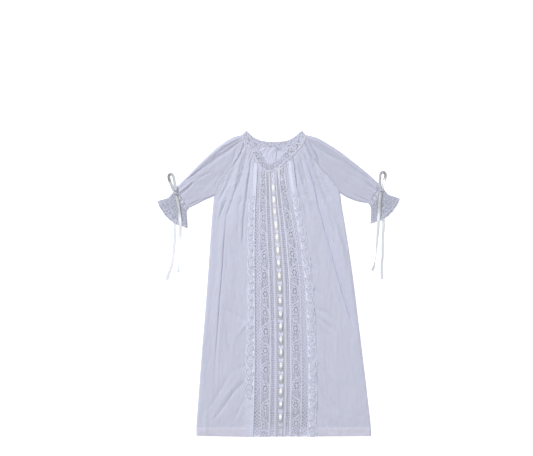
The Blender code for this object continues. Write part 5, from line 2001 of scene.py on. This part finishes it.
class DAYGOWN_OT_cuffs(bpy.types.Operator):
    """The cuffs' beading, the ribbon through it and the flared frill at each wrist"""

    bl_idname = "daygown.cuffs"
    bl_label = "Cuffs"

    SHOWS = ((0.4, 0.09, 1), (0.17, 0.07, 0.8), (0.61, 0.08, 0.8))  # ribbon: place, reach, how much

    def execute(self, context):
        sizes = context.scene.daygown_sizes
        sides = (("left", CUFF_LEFT, FRILL_LEFT, -1), ("right", CUFF_RIGHT, FRILL_RIGHT, 1))
        for name, band, frill, side in sides:
            tube = self.tube(band, side, 0, 0)
            grain = (110, 11.5)
            made = sheet(f"lace_cuff_{name}", (120, 8), tube, cuff_lace, grain, 0.4, tube=True)
            upper = self.over(band, side, 0, 0)
            line = np.linspace(0.02, 0.98, 60)
            edges = [point_array(upper, line, down) for down in (0.06, 0.94)]
            strokes = [(edge + (0, 0, 0.5), 0.7) for edge in edges]
            line = np.linspace(0.08, 0.92, 6)
            for share in np.linspace(0.04, 0.96, 15):
                bar = point_array(upper, share, line)
                bar[:, 2] += 0.4 + np.sin(line * np.pi)
                strokes.append((bar, 0.5))
            threads = cords(f"cuff_threads_{name}", strokes, lace_thread, sides=5)
            declare(made, [f"cuff_{name}"], None, [threads])

            threaded = self.threaded(upper, array(band), sizes.ribbon_width / MM)
            made = sheet(f"satin_cuff_{name}", (6, 80), threaded, cuff_satin, (7, 28), wall=0.3)
            declare(made, [f"cuff_ribbon_{name}"])

            shape = (frill, side, FRILL_BULGE, sizes.cuff_flutes)
            tube, over = self.tube(*shape), self.over(*shape)
            node, grain = f"cuff_frill_{name}", (190, 42)
            made = sheet(f"lace_{node}", (240, 26), tube, cuff_lace, grain, 0.35, tube=True)
            line = np.linspace(0.01, 0.99, 200)
            rim = (point_array(over, line, 1), 0.6)
            inner = (point_array(over, line, 0.88) + (0, 0, 0.3), 0.5)
            threads = cords(f"cuff_frill_threads_{name}", [rim, inner], lace_thread, sides=5)
            declare(made, [node], 0.0062, [threads])
        return {"FINISHED"}

    def threaded(self, upper, band, width):
        """The ribbon, which comes out through the beading in the places that SHOWS holds."""
        run = band[-1] - band[0]
        way = (run[:2] + run[2:]) / np.linalg.norm(run[:2] + run[2:])

        def place(across, down):
            share = mix(0.12, 0.68, down)
            x, y, z = upper(share, np.full(np.shape(share), 0.5))
            off = (across - 0.5) * width
            shows = sum(much * hump((share - spot) / reach) for spot, reach, much in self.SHOWS)
            return x + way[0] * off, y + way[1] * off, z - 1 + 2.5 * shows

        return place

    def over(self, table, side, bulge, flutes):
        """The upper layer of a cuff or its frill, from the arm's low edge to its top one."""

        def place(share, down):
            rows = through(table, down * (len(table) - 1))
            top, low = rows[..., :2], rows[..., 2:]
            width = np.hypot(*np.moveaxis(top - low, -1, 0))
            inset = 0.3 / width
            t = mix(inset, 1 - inset, share)
            wave = 0 * share
            if flutes:
                wave = np.sin(TURN * flutes * share + 0.5 * np.sin(TURN * share * 1.7))
            bow = bulge * down**2 * np.sin(np.pi * share) + 0.4 * wave * down * (flutes > 0)
            depth = np.minimum(t, 1 - t) * width - 0.3
            arm_x = (low[..., 1] - top[..., 1]) / width * side
            arm_y = (top[..., 0] - low[..., 0]) / width * side
            x = mix(low[..., 0], top[..., 0], t) - arm_x * bow
            y = mix(low[..., 1], top[..., 1], t) - arm_y * bow
            puckers = 0.45 * (1 + np.sin(share * 62)) * np.exp(-down * 3)
            fold = segment_distance(x, y, CUFF_FOLDS[side], 3)[0]
            ruffled = 0.45 * down * (1 + wave) + puckers + 0.6 * down - 1.3 * hump(fold / 2.6)
            z = mix(FOLD_Z, FRONT_Z, rolled(depth)) + ruffled * rolled(depth) * (flutes > 0)
            return x, y, z

        return place

    def tube(self, table, side, bulge, flutes):
        """Both layers of a cuff or its frill, folded at both edges."""
        over = self.over(table, side, bulge, flutes)

        def place(across, down):
            upper, share = folded_share(across, side, 0.5)
            x, y, z = over(share, down)
            rows = through(table, down * (len(table) - 1))
            width = np.hypot(*(rows[..., :2] - rows[..., 2:]).T)
            bottom = lower_layer(np.minimum(share, 1 - share) * width)
            return x, y, np.where(upper, z, bottom)

        return place


class DAYGOWN_PT_panel(bpy.types.Panel):
    """The gown's settings and pieces"""

    bl_idname = "DAYGOWN_PT_panel"
    bl_label = "Baby daygown"
    bl_space_type = "VIEW_3D"
    bl_region_type = "UI"
    bl_category = "Daygown"

    def draw(self, context):
        layout = self.layout
        for group in (context.scene.daygown_sizes, context.scene.daygown_colours):
            box = layout.box()
            for name in group.bl_rna.properties.keys():
                if name not in ("rna_type", "name"):
                    box.prop(group, name)
        for step in STEPS:
            layout.operator(step.bl_idname)


STEPS = (
    DAYGOWN_OT_stage,
    DAYGOWN_OT_ties,
    DAYGOWN_OT_back,
    DAYGOWN_OT_hems,
    DAYGOWN_OT_front,
    DAYGOWN_OT_sleeves,
    DAYGOWN_OT_neckband,
    DAYGOWN_OT_lace,
    DAYGOWN_OT_panel_ribbon,
    DAYGOWN_OT_frills,
    DAYGOWN_OT_cuffs,
)
CLASSES = (DaygownSizes, DaygownColours, *STEPS, DAYGOWN_PT_panel)


def register():
    for made in CLASSES:
        bpy.utils.register_class(made)
    bpy.types.Scene.daygown_sizes = PointerProperty(type=DaygownSizes)
    bpy.types.Scene.daygown_colours = PointerProperty(type=DaygownColours)


def unregister():
    del bpy.types.Scene.daygown_colours
    del bpy.types.Scene.daygown_sizes
    for made in reversed(CLASSES):
        bpy.utils.unregister_class(made)


def main():
    register()
    for step in STEPS:
        getattr(bpy.ops.daygown, step.bl_idname.split(".")[1])()


if __name__ == "__main__":
    main()
